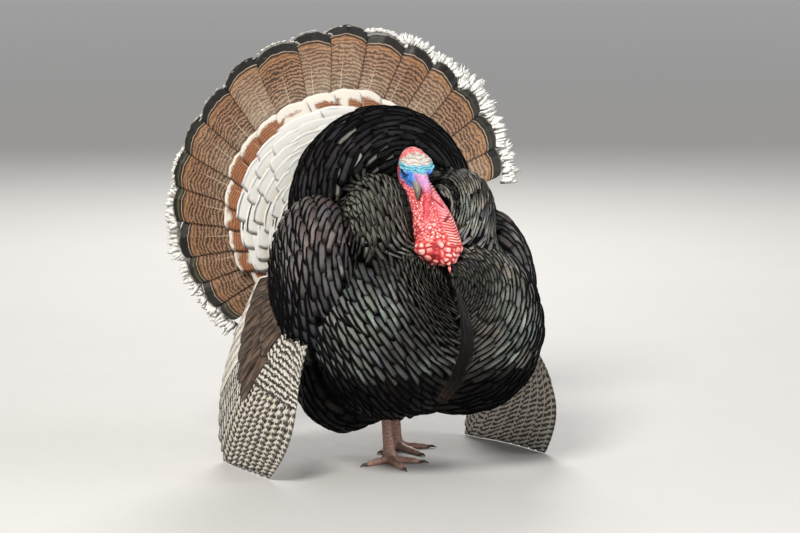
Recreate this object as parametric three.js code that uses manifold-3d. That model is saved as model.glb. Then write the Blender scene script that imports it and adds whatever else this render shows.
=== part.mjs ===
// A wild turkey gobbler in full strut, life size, in millimetres.
// The bird faces -Y, +Z is up, its right side is at -X, and it stands on the floor at Z = 0.
// Each form reaches to the tips of its feathers.
import * as THREE from "three";
import { mergeVertices } from "three/addons/utils/BufferGeometryUtils.js";
import Module from "manifold-3d";

const wasm = await Module();
wasm.setup();

const { PI, sin, cos, abs, min, max, sqrt, floor } = Math;
const { clamp, lerp, degToRad } = THREE.MathUtils;
const vec = (x, y, z) => new THREE.Vector3(x, y, z);

// ---------------------------------------------------------------- driving dimensions

const partGap = 0.4; // clearance between neighbouring pieces

// Puffed body: [centre], [half sizes], mirrored where the form is paired.
const barrel = { at: [0, 15, 250], radii: [178, 225, 165] };
const breastLobe = { at: [80, -108, 252], radii: [124, 134, 148] };
const mantleArch = { at: [2, 75, 440], radii: [170, 112, 180] };
const rightThigh = { at: [-92, 45, 150], radii: [80, 105, 95] };
const leftThigh = { at: [80, 60, 160], radii: [80, 100, 74] };
const ruffLobe = { at: [80, -76, 440], radii: [60, 66, 82] };
const rumpForm = { at: [0, 165, 272], radii: [132, 105, 140] };
const bodyCentre = vec(0, 10, 300); // every ray from here meets the body's surface once
const bodyBlend = 38; // how softly the forms run into each other
const ruffFloor = 378; // height where the ruff parts from the breast
const mantleFront = -20; // depth where the mantle parts from the ruff
const breastBack = 25; // depth where the breast parts from the rump
const bellyTop = 152; // height where the belly parts from breast and rump

const shoulderLobes = {
  right: { at: [-167, -18, 332], radii: [70, 132, 150] },
  left: { at: [160, -18, 300], radii: [71, 128, 142] }, // this wing is held a little lower
};

// Head and neck, along the line from the breast up to the crown.
const headCentre = vec(-4, -64, 529);
const headYaw = -13; // turned a little to the bird's right
const headPitch = 21; // the bill points down and forward
const headRadii = [25.5, 40, 31];
const billLength = 43;
const neckLine = [vec(2, -148, 396), vec(3, -130, 428), vec(1, -106, 458), vec(-2, -80, 484), vec(-4, -58, 508)];
const neckHalfWidths = [42, 39, 36, 31, 24];
const neckHalfDepths = [30, 27, 25, 23, 20];
const eyeRadius = 7;
const snoodTip = vec(-19, -139, 450);

// Tail fan: a shallow dish of broad feathers round one hub.
const fanHub = vec(-22, 222, 377);
const fanTurn = { yaw: -4, lean: -1.5, roll: -26.4 }; // degrees
const fanCup = 54; // how far the middle feather's tip stands before the hub
// Lengths of the middle feather and the mean of the outermost two, and how much the left exceeds the mean.
const rectrices = { count: 18, halfSpread: 98, middle: 378, outer: 305, skew: 42, root: 30 };
const coverts = { count: 11, halfSpread: 96, middle: 262, outer: 192, skew: 34, root: 34 };
const underCoverts = { count: 8, halfSpread: 76, middle: 170, outer: 140, skew: 10, root: 40 };

// Drooped wings: the arm from wrist to elbow, and the line that the feather tips make, from the
// foremost primary on the floor round to the last secondary beside the back.
const wings = {
  right: {
    arm: [vec(-205, -66, 235), vec(-196, 30, 345)],
    tips: [
      vec(-274, -48, -2), vec(-279, 48, -2), vec(-280, 136, -2),
      vec(-276, 163, 100), vec(-252, 160, 205), vec(-224, 105, 325),
    ],
  },
  left: {
    arm: [vec(205, -66, 235), vec(196, 30, 345)],
    tips: [
      vec(264, -45, -2), vec(252, 72, -2), vec(222, 180, -2),
      vec(236, 186, 100), vec(240, 166, 205), vec(222, 105, 320),
    ],
  },
};
const primaryCount = 10;
const secondaryCount = 11;
const wingBulge = 24; // how far the blade bows outward
const wingSaber = { right: 78, left: 34 }; // how far the foremost primary bows forward

// Legs: where each middle toe leaves the foot, and where the hock is hidden in the belly.
const legs = {
  right: { foot: vec(-20, 0, 0), hock: vec(-34, 14, 168), heading: 8 },
  left: { foot: vec(48, 112, 0), hock: vec(44, 122, 172), heading: -6 },
};
const toes = [
  { name: "inner", length: 52, turn: -62 },
  { name: "middle", length: 78, turn: 0 },
  { name: "outer", length: 54, turn: 64 },
  { name: "hind", length: 26, turn: 184 },
];
const shankRadius = 8.5;
const clawLength = 17;

// ---------------------------------------------------------------- colours

const paint = (color, roughness) => new THREE.MeshStandardMaterial({ color, roughness, metalness: 0 });
const materials = {
  black: paint(0x1d1a1b, 0.45),
  bronze: paint(0x2c2622, 0.45),
  barred: paint(0x8a7f72, 0.6),
  brown: paint(0x4a392c, 0.55),
  rust: paint(0xa9764f, 0.6),
  cream: paint(0xd8cbb2, 0.7),
  wattle: paint(0xc8303a, 0.5),
  face: paint(0x5f9fd0, 0.5),
  leg: paint(0xb08a7a, 0.55),
  horn: paint(0x9b8a6c, 0.4),
  eye: paint(0x1a0f0a, 0.1),
};

// ---------------------------------------------------------------- solids

function solid(geometry) {
  const bare = geometry.clone();
  bare.deleteAttribute("normal");
  bare.deleteAttribute("uv");
  const merged = mergeVertices(bare, 1e-3);
  const mesh = new wasm.Mesh({
    numProp: 3,
    vertProperties: new Float32Array(merged.attributes.position.array),
    triVerts: new Uint32Array(merged.index.array),
  });
  return new wasm.Manifold(mesh);
}

// The largest body of a solid, so that a cut leaves no crumbs.
function largest(shape) {
  return shape.decompose().reduce((a, b) => (b.volume() > a.volume() ? b : a));
}

function piece(name, shape, material) {
  const { vertProperties, triVerts } = largest(shape).getMesh();
  const geometry = new THREE.BufferGeometry();
  geometry.setAttribute("position", new THREE.BufferAttribute(vertProperties, 3));
  geometry.setIndex(new THREE.BufferAttribute(triVerts, 1));
  geometry.computeVertexNormals();
  const mesh = new THREE.Mesh(geometry, material);
  mesh.name = name;
  return mesh;
}

// Moves every vertex of a geometry by a function that returns its new place.
function shaped(geometry, place) {
  const points = geometry.attributes.position;
  const at = vec(0, 0, 0);
  for (let i = 0; i < points.count; i++) {
    at.fromBufferAttribute(points, i);
    const to = place(at);
    points.setXYZ(i, to.x, to.y, to.z);
  }
  return geometry;
}

// ---------------------------------------------------------------- rounded forms

// Signed distance to an ellipsoid, good close to its surface.
function ellipsoidDistance(p, { at, radii }) {
  const q = [(p.x - at[0]) / radii[0], (p.y - at[1]) / radii[1], (p.z - at[2]) / radii[2]];
  const k = Math.hypot(...q);
  const slope = Math.hypot(q[0] / radii[0], q[1] / radii[1], q[2] / radii[2]);
  return (k * (k - 1)) / max(slope, 1e-9);
}

function softUnion(a, b, softness) {
  const h = max(softness - abs(a - b), 0) / softness;
  return min(a, b) - (h * h * softness) / 4;
}

const mirrored = (form) => ({ at: [-form.at[0], form.at[1], form.at[2]], radii: form.radii });
const pair = (form) => [form, mirrored(form)];

const bodyForms = [barrel, rumpForm, mantleArch, rightThigh, leftThigh, ...pair(breastLobe), ...pair(ruffLobe)];

function bodyDistance(p) {
  return bodyForms.map((form) => ellipsoidDistance(p, form)).reduce((a, b) => softUnion(a, b, bodyBlend));
}

// A closed surface round a centre, out to where the distance equals the margin.
function shell(distance, centre, reach, columns, rows, margin = 0) {
  const sphere = new THREE.SphereGeometry(1, columns, rows).rotateX(PI / 2);
  return solid(
    shaped(sphere, (direction) => {
      const ray = direction.clone().normalize();
      const at = (r) => centre.clone().addScaledVector(ray, r);
      let outside = reach;
      while (outside > 1 && distance(at(outside)) > margin) outside -= 3;
      let inside = outside;
      outside += 3;
      for (let i = 0; i < 14; i++) {
        const middle = (inside + outside) / 2;
        if (distance(at(middle)) > margin) outside = middle;
        else inside = middle;
      }
      return at(inside);
    }),
  );
}

function ellipsoid(form, columns, rows, margin = 0) {
  const sphere = new THREE.SphereGeometry(1, columns, rows).rotateX(PI / 2);
  const [rx, ry, rz] = form.radii.map((r) => r + margin);
  return solid(sphere.scale(rx, ry, rz).translate(...form.at));
}

// ---------------------------------------------------------------- tubes

// A closed tube along a curve. widthAt and depthAt give its half sizes from 0 at the start to 1.
function tube(curve, widthAt, depthAt, sides, rings, across = vec(1, 0, 0)) {
  const cylinder = new THREE.CylinderGeometry(1, 1, 1, sides, rings);
  return solid(
    shaped(cylinder, (p) => {
      const t = clamp(p.y + 0.5, 0, 1);
      const along = curve.getTangent(t);
      const side = across.clone().addScaledVector(along, -across.dot(along)).normalize();
      const out = side.clone().cross(along);
      return curve
        .getPoint(t)
        .addScaledVector(side, p.x * widthAt(t))
        .addScaledVector(out, p.z * depthAt(t));
    }),
  );
}

// A value read from evenly spaced knots.
function knots(values) {
  return (t) => {
    const x = clamp(t, 0, 1) * (values.length - 1);
    const i = min(floor(x), values.length - 2);
    return lerp(values[i], values[i + 1], x - i);
  };
}

// ---------------------------------------------------------------- sheets of overlapping feathers

// A sheet of feathers side by side. place(feather, s, t) gives a point of its middle surface, s across
// one feather from 0 to 1 and t from root to tip, and lift(feather, s, t, side) the way to its faces.
const acrossStops = [0, 0.3, 0.7, 1];

function featherSheet(count, rows, place, stops = acrossStops) {
  const perFeather = stops.length;
  const columns = count * perFeather - 1;
  const box = new THREE.BoxGeometry(columns, rows, 1, columns, rows, 1);
  return solid(
    shaped(box, (p) => {
      const column = Math.round(p.x + columns / 2);
      const t = (p.y + rows / 2) / rows;
      const feather = floor(column / perFeather);
      return place(feather, stops[column % perFeather], t, p.z > 0 ? 1 : -1);
    }),
  );
}

const tipRound = (s, depth) => 1 - depth * (2 * s - 1) ** 2;

// ---------------------------------------------------------------- tail

const fanFrame = new THREE.Matrix4()
  .makeRotationZ(degToRad(fanTurn.yaw))
  .multiply(new THREE.Matrix4().makeRotationX(degToRad(fanTurn.lean)))
  .multiply(new THREE.Matrix4().makeRotationY(degToRad(fanTurn.roll)))
  .setPosition(fanHub);

// A ring of tail feathers in the fan's own frame, where the middle feathers point up and -Y is
// forward. offset(t) is how far the sheet stands before the fan's dish, thickness(t) how thick it is.
function tailRing(ring, rows, offset, thickness, shingle, stops) {
  const pitch = (2 * ring.halfSpread) / ring.count;
  return featherSheet(
    ring.count,
    rows,
    (feather, s, t, side) => {
      const middleAngle = (feather + 0.5) * pitch - ring.halfSpread;
      const angle = degToRad(middleAngle + (s - 0.5) * pitch);
      const share = middleAngle / ring.halfSpread;
      const length = lerp(ring.middle, ring.outer, share ** 2) + ring.skew * share;
      const radius = lerp(ring.root, length * tipRound(s, 0.035), t);
      const dish = fanCup * (radius / rectrices.middle) ** 2;
      const overlap = shingle * (s - 0.5) * Math.sign(middleAngle) * t;
      const forward = dish + offset(t) + overlap + (side * thickness(t)) / 2;
      return vec(radius * sin(angle), -forward, radius * cos(angle)).applyMatrix4(fanFrame);
    },
    stops,
  );
}

const tailFan = tailRing(rectrices, 2, () => 0, knots([6, 2.4, 1.6]), 1.6);
const tailCoverts = tailRing(coverts, 2, knots([34, 20, 6.5]), knots([44, 22, 2]), 1.2, [0, 0.5, 1]);
const tailUnderCoverts = tailRing(underCoverts, 2, knots([-26, -16, -5.5]), knots([30, 16, 2]), 1.2, [0, 0.5, 1]);

// ---------------------------------------------------------------- body

const body = shell(bodyDistance, bodyCentre, 420, 26, 18);
const bodyCutter = shell(bodyDistance, bodyCentre, 420, 26, 18, partGap);

// Keeps the part of a solid beyond a plane, less half the gap.
const beyond = (shape, normal, offset) => shape.trimByPlane(normal, offset + partGap / 2);
const above = (shape, z) => beyond(shape, [0, 0, 1], z);
const below = (shape, z) => beyond(shape, [0, 0, -1], -z);
const before = (shape, y) => beyond(shape, [0, -1, 0], -y);
const behind = (shape, y) => beyond(shape, [0, 1, 0], y);

const bodyPieces = {
  ruff: before(above(body, ruffFloor), mantleFront),
  mantle: behind(above(body, ruffFloor), mantleFront),
  breast: before(above(below(body, ruffFloor), bellyTop), breastBack),
  rump: behind(above(below(body, ruffFloor), bellyTop), breastBack),
  belly: below(body, bellyTop),
};

// ---------------------------------------------------------------- wings

const sideSign = { right: -1, left: 1 };

function shoulder(side, margin = 0) {
  return ellipsoid(shoulderLobes[side], 12, 7, margin);
}

// Flight feathers first to last of one wing, counted from the foremost primary.
function flightSheet(side, first, last) {
  const { arm, tips } = wings[side];
  const tipLine = new THREE.CatmullRomCurve3(tips);
  const total = primaryCount + secondaryCount;
  const out = vec(sideSign[side], 0, 0);
  return featherSheet(
    last - first,
    first === 0 ? 3 : 2,
    (feather, s, t, face) => {
      const k = first + feather;
      const around = (k + s) / total;
      const root = arm[0].clone().lerp(arm[1], around);
      const tip = tipLine.getPoint(around);
      const reach = t * tipRound(s, 0.035);
      const bow = sin(PI * min(reach, 1));
      const bulge = wingBulge * bow;
      const forward = wingSaber[side] * sin(PI * min(reach, 1) ** 1.25) * max(0, 1 - around * 2.4) ** 1.5;
      const shingle = 1.4 * (0.5 - s) * t;
      const thickness = lerp(7, 1.6, min(1, 1.6 * t));
      const lift = bulge + shingle + (face * -sideSign[side] * thickness) / 2;
      return root.lerp(tip, reach).addScaledVector(out, lift).add(vec(0, -forward, 0));
    },
    [0, 0.5, 1],
  );
}

function onFloor(shape) {
  return shape.trimByPlane([0, 0, 1], 0);
}

function wingPieces(side) {
  const lobe = shoulder(side).subtract(bodyCutter);
  const lobeCutter = shoulder(side, partGap);
  const clear = (shape) => onFloor(shape.subtract(bodyCutter).subtract(lobeCutter));
  const primaries = clear(flightSheet(side, 0, primaryCount));
  const secondaries = clear(flightSheet(side, primaryCount, primaryCount + secondaryCount));
  return { lobe, primaries, secondaries };
}

// ---------------------------------------------------------------- head and neck

const headFrame = new THREE.Matrix4()
  .makeRotationZ(degToRad(headYaw))
  .multiply(new THREE.Matrix4().makeRotationX(degToRad(headPitch)))
  .setPosition(headCentre);
const inHead = (x, y, z) => vec(x, y, z).applyMatrix4(headFrame);
const intoHead = headFrame.clone().invert();

// In the head's frame the bill points to -Y and the crown to +Z.
const [headWidth, headDepth, headHeight] = headRadii;
const headForms = [
  { at: [0, 4, 0], radii: headRadii },
  { at: [0, -26, -6], radii: [17, 24, 16] },
  { at: [17, -12, 9], radii: [10, 15, 9] },
  { at: [-17, -12, 9], radii: [10, 15, 9] },
];

function headDistance(p) {
  const q = p.clone().applyMatrix4(intoHead);
  return headForms.map((form) => ellipsoidDistance(q, form)).reduce((a, b) => softUnion(a, b, 8));
}

const eyePlace = (x) => inHead(x * (headWidth - 6.5), -17, 2.5);

function eye(x, margin = 0) {
  const sphere = new THREE.SphereGeometry(eyeRadius + margin, 8, 6);
  return solid(sphere.translate(...eyePlace(x).toArray()));
}

const neckCurve = new THREE.CatmullRomCurve3(neckLine);

function neck(margin = 0) {
  const width = knots(neckHalfWidths);
  const depth = knots(neckHalfDepths);
  return tube(neckCurve, (t) => width(t) + margin, (t) => depth(t) + margin, 11, 5);
}

function upperBill(margin = 0) {
  const start = -headDepth + 6;
  const path = new THREE.CatmullRomCurve3([
    inHead(0, start, -4),
    inHead(0, start - billLength * 0.5, -5),
    inHead(0, start - billLength * 0.85, -10),
    inHead(0, start - billLength, -17),
  ]);
  return tube(path, (t) => lerp(10, 2.4, t ** 1.3) + margin, (t) => lerp(8, 2.2, t) + margin, 8, 4);
}

function lowerBill(margin = 0) {
  const start = -headDepth + 8;
  const path = new THREE.CatmullRomCurve3([
    inHead(0, start, -15),
    inHead(0, start - billLength * 0.4, -16),
    inHead(0, start - billLength * 0.78, -17.5),
  ]);
  return tube(path, (t) => lerp(8, 2, t) + margin, (t) => lerp(4.5, 1.5, t) + margin, 8, 3);
}

// The snood rises from the forehead, passes left of the bill and hangs down in front of the throat.
const snoodCurve = new THREE.CatmullRomCurve3([
  inHead(3, -29, 14),
  inHead(5, -46, 9),
  inHead(11, -58, -3),
  inHead(12, -62, -19),
  snoodTip,
]);

function snood(margin = 0) {
  const radius = knots([11, 10.5, 8.5, 7.5, 7.2, 6.8, 4]);
  return tube(snoodCurve, (t) => radius(t) + margin, (t) => radius(t) + margin, 8, 6);
}

// Fleshy beads at the base of the throat: place across, place down, radius.
function caruncles(margin = 0) {
  const beads = [{ at: [-4, -160, 408], radii: [38, 22, 20] }];
  for (let i = 0; i < 5; i++) {
    const x = (i - 2) * 16;
    const radii = [12.5, 14, 15 - (i % 2) * 2];
    beads.push({ at: [x - 5, -172 + abs(x) * 0.42, 390 + abs(x) * 0.36], radii });
  }
  beads.push({ at: [4, -178, 384], radii: [16, 13, 13] });
  return wasm.Manifold.union(beads.map((bead) => ellipsoid(bead, 6, 4, margin)));
}

function headPieces() {
  const eyes = [eye(-1, partGap), eye(1, partGap)];
  const wholeHead = shell(headDistance, inHead(0, -4, 0), 90, 15, 10);
  const headCutter = shell(headDistance, inHead(0, -4, 0), 90, 15, 10, partGap);
  const head = wholeHead.subtract(bodyCutter).subtract(eyes[0]).subtract(eyes[1]);
  const eyeCut = (shape) => shape.subtract(neck(partGap));
  const bare = neck().subtract(headCutter).subtract(bodyCutter);
  const wattles = caruncles().subtract(neck(partGap)).subtract(bodyCutter);
  const snoodCutter = snood(partGap);
  return {
    head,
    neck: bare.subtract(eyes[0]).subtract(eyes[1]),
    caruncles: wattles,
    snood: snood().subtract(headCutter).subtract(neck(partGap)),
    upperBill: upperBill().subtract(headCutter).subtract(snoodCutter),
    lowerBill: lowerBill().subtract(headCutter).subtract(upperBill(partGap)).subtract(neck(partGap)).subtract(snoodCutter),
    eyeRight: eyeCut(eye(-1)),
    eyeLeft: eyeCut(eye(1)),
  };
}

// ---------------------------------------------------------------- legs

// A toe lies on the floor, from the ball of the foot to where its claw starts.
function toeCurve(foot, heading, toe, mirror) {
  const angle = degToRad(heading + toe.turn * mirror);
  const ahead = vec(-sin(angle), -cos(angle), 0);
  const point = (share, z) => foot.clone().addScaledVector(ahead, share * toe.length).setZ(z);
  const curve = new THREE.CatmullRomCurve3([point(0.06, 7.4), point(0.4, 5.4), point(0.75, 4.4), point(1, 3.2)]);
  return { ahead, across: vec(-ahead.y, ahead.x, 0), curve };
}

function legPieces(side) {
  const { foot, hock, heading } = legs[side];
  const ankle = foot.clone().setZ(14).add(vec(0, 2, 0));
  const shankCurve = new THREE.CatmullRomCurve3([hock, hock.clone().lerp(ankle, 0.5).add(vec(0, -3, 0)), ankle]);
  const made = toes.map((toe) => ({ toe, ...toeCurve(foot, heading, toe, -sideSign[side]) }));
  const toeShapes = made.map(({ across, curve }) =>
    tube(curve, knots([8.5, 7.2, 6.8, 6, 4.6]), knots([8.5, 7.2, 6.8, 5.8, 4.2]), 6, 3, across),
  );
  const flat = onFloor(wasm.Manifold.union([...toeShapes, ellipsoid({ at: [ankle.x, ankle.y, 10], radii: [13, 14, 14] }, 6, 4)]));
  const shank = tube(shankCurve, knots([11, 8, shankRadius, 10.5]), knots([12, 9, 9, 11]), 8, 4);
  const shankCutter = tube(shankCurve, knots([11.4, 8.4, 8.9, 10.9]), knots([12.4, 9.4, 9.4, 11.4]), 8, 4);
  const claws = made.map(({ toe, ahead, across, curve }) => {
    const tip = curve.getPoint(1);
    const start = tip.clone().addScaledVector(ahead, partGap * 4);
    const reach = toe.name === "hind" ? clawLength * 0.8 : clawLength;
    const arc = new THREE.CatmullRomCurve3([
      start,
      start.clone().addScaledVector(ahead, reach * 0.5).setZ(start.z + 1.2),
      start.clone().addScaledVector(ahead, reach).setZ(1.2),
    ]);
    return { name: toe.name, shape: onFloor(tube(arc, (t) => lerp(3.4, 0.8, t), (t) => lerp(3.4, 0.8, t), 5, 2, across)) };
  });
  const spurStart = ankle.clone().lerp(hock, 0.2).add(vec(side === "left" ? -6.5 : 6.5, 8.5, 0));
  const spurCurve = new THREE.CatmullRomCurve3([
    spurStart,
    spurStart.clone().add(vec(0, 9, 1)),
    spurStart.clone().add(vec(0, 17, 6)),
  ]);
  const spur = tube(spurCurve, (t) => lerp(5, 0.8, t), (t) => lerp(5, 0.8, t), 5, 2).subtract(shankCutter);
  return { foot: flat.subtract(shankCutter), shank: onFloor(shank.subtract(bodyCutter)), claws, spur };
}

// ---------------------------------------------------------------- beard

const beardCurve = new THREE.CatmullRomCurve3([
  vec(-6, -236, 334), vec(0, -252, 290), vec(2, -254, 238), vec(-8, -240, 190), vec(-26, -214, 145),
]);

const beard = () => tube(beardCurve, knots([8, 12, 15, 14, 8]), knots([6, 8, 9, 8, 4]), 7, 6);

// ---------------------------------------------------------------- the bird

const bird = new THREE.Group();

const bodyMaterials = {
  ruff: materials.bronze,
  mantle: materials.black,
  breast: materials.bronze,
  rump: materials.black,
  belly: materials.black,
};
for (const [name, shape] of Object.entries(bodyPieces)) bird.add(piece(name, shape, bodyMaterials[name]));

const wingMade = { right: wingPieces("right"), left: wingPieces("left") };
for (const [side, made] of Object.entries(wingMade)) {
  bird.add(piece(`wing_${side}_shoulder`, made.lobe, materials.bronze));
  bird.add(piece(`wing_${side}_secondaries`, made.secondaries, materials.brown));
  bird.add(piece(`wing_${side}_primaries`, made.primaries, materials.barred));
}

bird.add(piece("tail_fan", tailFan.subtract(bodyCutter), materials.rust));
bird.add(piece("tail_coverts", tailCoverts.subtract(bodyCutter), materials.cream));
bird.add(piece("tail_under_coverts", tailUnderCoverts.subtract(bodyCutter), materials.cream));

const headMade = headPieces();
bird.add(piece("head", headMade.head, materials.face));
bird.add(piece("neck", headMade.neck, materials.wattle));
bird.add(piece("caruncles", headMade.caruncles, materials.wattle));
bird.add(piece("snood", headMade.snood, materials.wattle));
bird.add(piece("bill_upper", headMade.upperBill, materials.horn));
bird.add(piece("bill_lower", headMade.lowerBill, materials.horn));
bird.add(piece("eye_right", headMade.eyeRight, materials.eye));
bird.add(piece("eye_left", headMade.eyeLeft, materials.eye));

for (const side of ["right", "left"]) {
  const made = legPieces(side);
  bird.add(piece(`leg_${side}`, made.shank, materials.leg));
  bird.add(piece(`foot_${side}`, made.foot, materials.leg));
  bird.add(piece(`spur_${side}`, made.spur, materials.horn));
  for (const { name, shape } of made.claws) bird.add(piece(`claw_${side}_${name}`, shape, materials.horn));
}

bird.add(piece("beard", beard().subtract(bodyCutter), materials.black));

// The middle of the bird's outline stands over the origin.
const middle = new THREE.Box3().setFromObject(bird).getCenter(vec(0, 0, 0));
bird.position.set(-middle.x, -middle.y, 0);

const turkey = new THREE.Group();
turkey.add(bird);

export default turkey;
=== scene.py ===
"""A wild turkey gobbler in full strut, life size, dressed over its frame.

The bird faces -Y, +Z is up and its right side is at -X. Shapes are worked out in
millimetres from the bird's own middle line and moved into the frame at the end.
"""

import bpy
import numpy as np
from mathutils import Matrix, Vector


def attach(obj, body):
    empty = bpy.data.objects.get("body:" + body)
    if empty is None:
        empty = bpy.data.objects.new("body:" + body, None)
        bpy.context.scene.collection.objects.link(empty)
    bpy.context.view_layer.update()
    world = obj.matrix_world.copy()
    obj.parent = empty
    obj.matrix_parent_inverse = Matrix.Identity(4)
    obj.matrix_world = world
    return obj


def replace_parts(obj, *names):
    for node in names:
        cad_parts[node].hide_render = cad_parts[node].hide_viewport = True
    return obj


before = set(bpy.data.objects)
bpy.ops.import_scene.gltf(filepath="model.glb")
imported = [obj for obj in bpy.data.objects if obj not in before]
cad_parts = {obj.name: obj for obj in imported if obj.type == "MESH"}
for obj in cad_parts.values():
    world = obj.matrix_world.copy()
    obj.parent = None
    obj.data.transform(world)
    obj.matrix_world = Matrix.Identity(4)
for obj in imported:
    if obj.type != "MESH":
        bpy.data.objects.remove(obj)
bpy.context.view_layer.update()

# ---------------------------------------------------------------- sizes, in millimetres

MM = 0.001
bird_middle = np.array([26.5278, -2.2969, 0.0])

barrel = ((0, 15, 250), (178, 225, 165))
rump_form = ((0, 165, 272), (132, 105, 140))
mantle_arch = ((2, 75, 440), (170, 112, 180))
right_thigh = ((-92, 45, 150), (80, 105, 95))
left_thigh = ((80, 60, 160), (80, 100, 74))
breast_lobes = {"right": ((-80, -108, 252), (124, 134, 148)), "left": ((80, -108, 252), (124, 134, 148))}
ruff_lobes = {"right": ((-80, -76, 440), (60, 66, 82)), "left": ((80, -76, 440), (60, 66, 82))}
shoulder_lobes = {"right": ((-167, -18, 332), (70, 132, 150)), "left": ((160, -18, 300), (71, 128, 142))}
body_centre = np.array([0.0, 10.0, 300.0])
body_blend = 38.0

head_centre = np.array([-4.0, -64.0, 529.0])
head_yaw, head_pitch = -13.0, 21.0
head_forms = [
    ((0, 4, 0), (25.5, 40, 31)),
    ((0, -26, -6), (17, 24, 16)),
    ((17, -9, 12), (11.5, 18, 11)),
    ((-17, -9, 12), (11.5, 18, 11)),
]
eye_radius = 8.0
eye_centres = {"right": (-18.5, -19, 4.5), "left": (18.5, -19, 4.5)}
neck_line = [(2, -148, 396), (3, -130, 428), (1, -106, 458), (-2, -80, 484), (-4, -58, 508)]
neck_half_widths = [42, 39, 36, 31, 24]
neck_half_depths = [30, 27, 25, 23, 20]
snood_tip = np.array([-19.0, -139.0, 450.0])
snood_radii = [10.5, 11.5, 9.5, 7.6, 6.4, 6.8, 4.4]
beard_line = [(-6, -236, 334), (0, -252, 290), (2, -254, 238), (-8, -240, 190), (-26, -214, 145)]

fan_hub = np.array([-22.0, 222.0, 377.0])
fan_yaw, fan_lean, fan_roll = -4.0, -1.5, -26.4
fan_cup = 54.0
fan_middle = 378.0
fluff_depth = 13.0
rectrices = dict(count=18, half_spread=98, middle=378, outer=305, skew=42, root=30)
coverts = dict(count=22, half_spread=98, middle=262, outer=192, skew=34, root=34)
under_coverts = dict(count=15, half_spread=80, middle=170, outer=140, skew=10, root=40)

wing_arms = {"right": [(-205, -66, 235), (-196, 30, 345)], "left": [(205, -66, 235), (196, 30, 345)]}
wing_tips = {
    "right": [
        (-274, -48, -2), (-279, 48, -2), (-280, 136, -2), (-276, 163, 100), (-252, 160, 205), (-224, 105, 325)
    ],
    "left": [
        (264, -45, -2), (252, 72, -2), (222, 180, -2), (236, 186, 100), (240, 166, 205), (222, 105, 320)
    ],
}
flight_count = 21
primary_count = 10
wing_bulge = 24.0
wing_saber = {"right": 78.0, "left": 34.0}

legs = {
    "right": dict(foot=(-20, 0, 0), hock=(-34, 14, 168), heading=8),
    "left": dict(foot=(48, 112, 0), hock=(44, 122, 172), heading=-6),
}
toes = [("inner", 52, -62), ("middle", 78, 0), ("outer", 54, 64), ("hind", 26, 184)]
claw_length = 17.0
side_sign = {"right": -1, "left": 1}
coat_depth = 15.0
look_ahead = 0.03
ruff_reach = 26.0
sides = ("right", "left")
bake_patch = 0.003
TURN = 6.2832

random = np.random.default_rng(7)

# ---------------------------------------------------------------- lines and turns


def unit(vectors):
    return vectors / np.maximum(np.linalg.norm(vectors, axis=-1, keepdims=True), 1e-9)


def turned(axis, degrees):
    """A 3 by 3 turn about X, Y or Z."""
    c, s = np.cos(np.radians(degrees)), np.sin(np.radians(degrees))
    rows = {
        "X": [[1, 0, 0], [0, c, -s], [0, s, c]],
        "Y": [[c, 0, s], [0, 1, 0], [-s, 0, c]],
        "Z": [[c, -s, 0], [s, c, 0], [0, 0, 1]],
    }
    return np.array(rows[axis])


head_turn = turned("Z", head_yaw) @ turned("X", head_pitch)
fan_turn = turned("Z", fan_yaw) @ turned("X", fan_lean) @ turned("Y", fan_roll)


def in_head(points):
    return np.asarray(points, float) @ head_turn.T + head_centre


def from_head(points):
    return (points - head_centre) @ head_turn


def spline(points, t):
    """A smooth centripetal curve through points, read at t from 0 to 1."""
    points = np.asarray(points, float)
    t = np.atleast_1d(np.asarray(t, float))
    ends = np.vstack([2 * points[0] - points[1], points, 2 * points[-1] - points[-2]])
    x = np.clip(t, 0, 1) * (len(points) - 1)
    i = np.minimum(x.astype(int), len(points) - 2)
    w = (x - i)[..., None]
    p0, p1, p2, p3 = (ends[i + k] for k in range(4))
    gap = lambda a, b: np.maximum(np.linalg.norm(b - a, axis=-1, keepdims=True), 1e-6) ** 0.5
    g0, g1, g2 = gap(p0, p1), gap(p1, p2), gap(p2, p3)
    m1 = ((p1 - p0) / g0 - (p2 - p0) / (g0 + g1) + (p2 - p1) / g1) * g1
    m2 = ((p2 - p1) / g1 - (p3 - p1) / (g1 + g2) + (p3 - p2) / g2) * g1
    return p1 + m1 * w + (3 * (p2 - p1) - 2 * m1 - m2) * w**2 + (2 * (p1 - p2) + m1 + m2) * w**3


def knots(values, t):
    return np.interp(np.clip(t, 0, 1) * (len(values) - 1), np.arange(len(values)), values)


def smooth(low, high, x):
    t = np.clip((x - low) / (high - low), 0, 1)
    return t * t * (3 - 2 * t)


def mix(a, b, share):
    return a + (b - a) * share


# ---------------------------------------------------------------- rounded forms


def ellipsoid_distance(p, form, margin=0.0):
    at, radii = np.asarray(form[0], float), np.asarray(form[1], float) + margin
    q = (p - at) / radii
    k = np.sqrt(np.einsum("...i,...i", q, q))
    slope = np.sqrt(np.einsum("...i,...i", q / radii, q / radii))
    return k * (k - 1) / np.maximum(slope, 1e-9)


def soft_union(a, b, softness):
    h = np.maximum(softness - np.abs(a - b), 0) / softness
    return np.minimum(a, b) - h * h * softness / 4


def soft_all(distances, softness):
    total = distances[0]
    for distance in distances[1:]:
        total = soft_union(total, distance, softness)
    return total


named_forms = {
    "barrel": barrel, "rump": rump_form, "mantle": mantle_arch, "right_thigh": right_thigh,
    "left_thigh": left_thigh,
}
named_forms.update({f"{side}_breast": breast_lobes[side] for side in ("left", "right")})
named_forms.update({f"{side}_ruff": ruff_lobes[side] for side in ("left", "right")})
body_forms = list(named_forms.values())
form_names = list(named_forms)
first_ruff = form_names.index("left_ruff")


def body_distance(p):
    return soft_all([ellipsoid_distance(p, form) for form in body_forms], body_blend)


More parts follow.
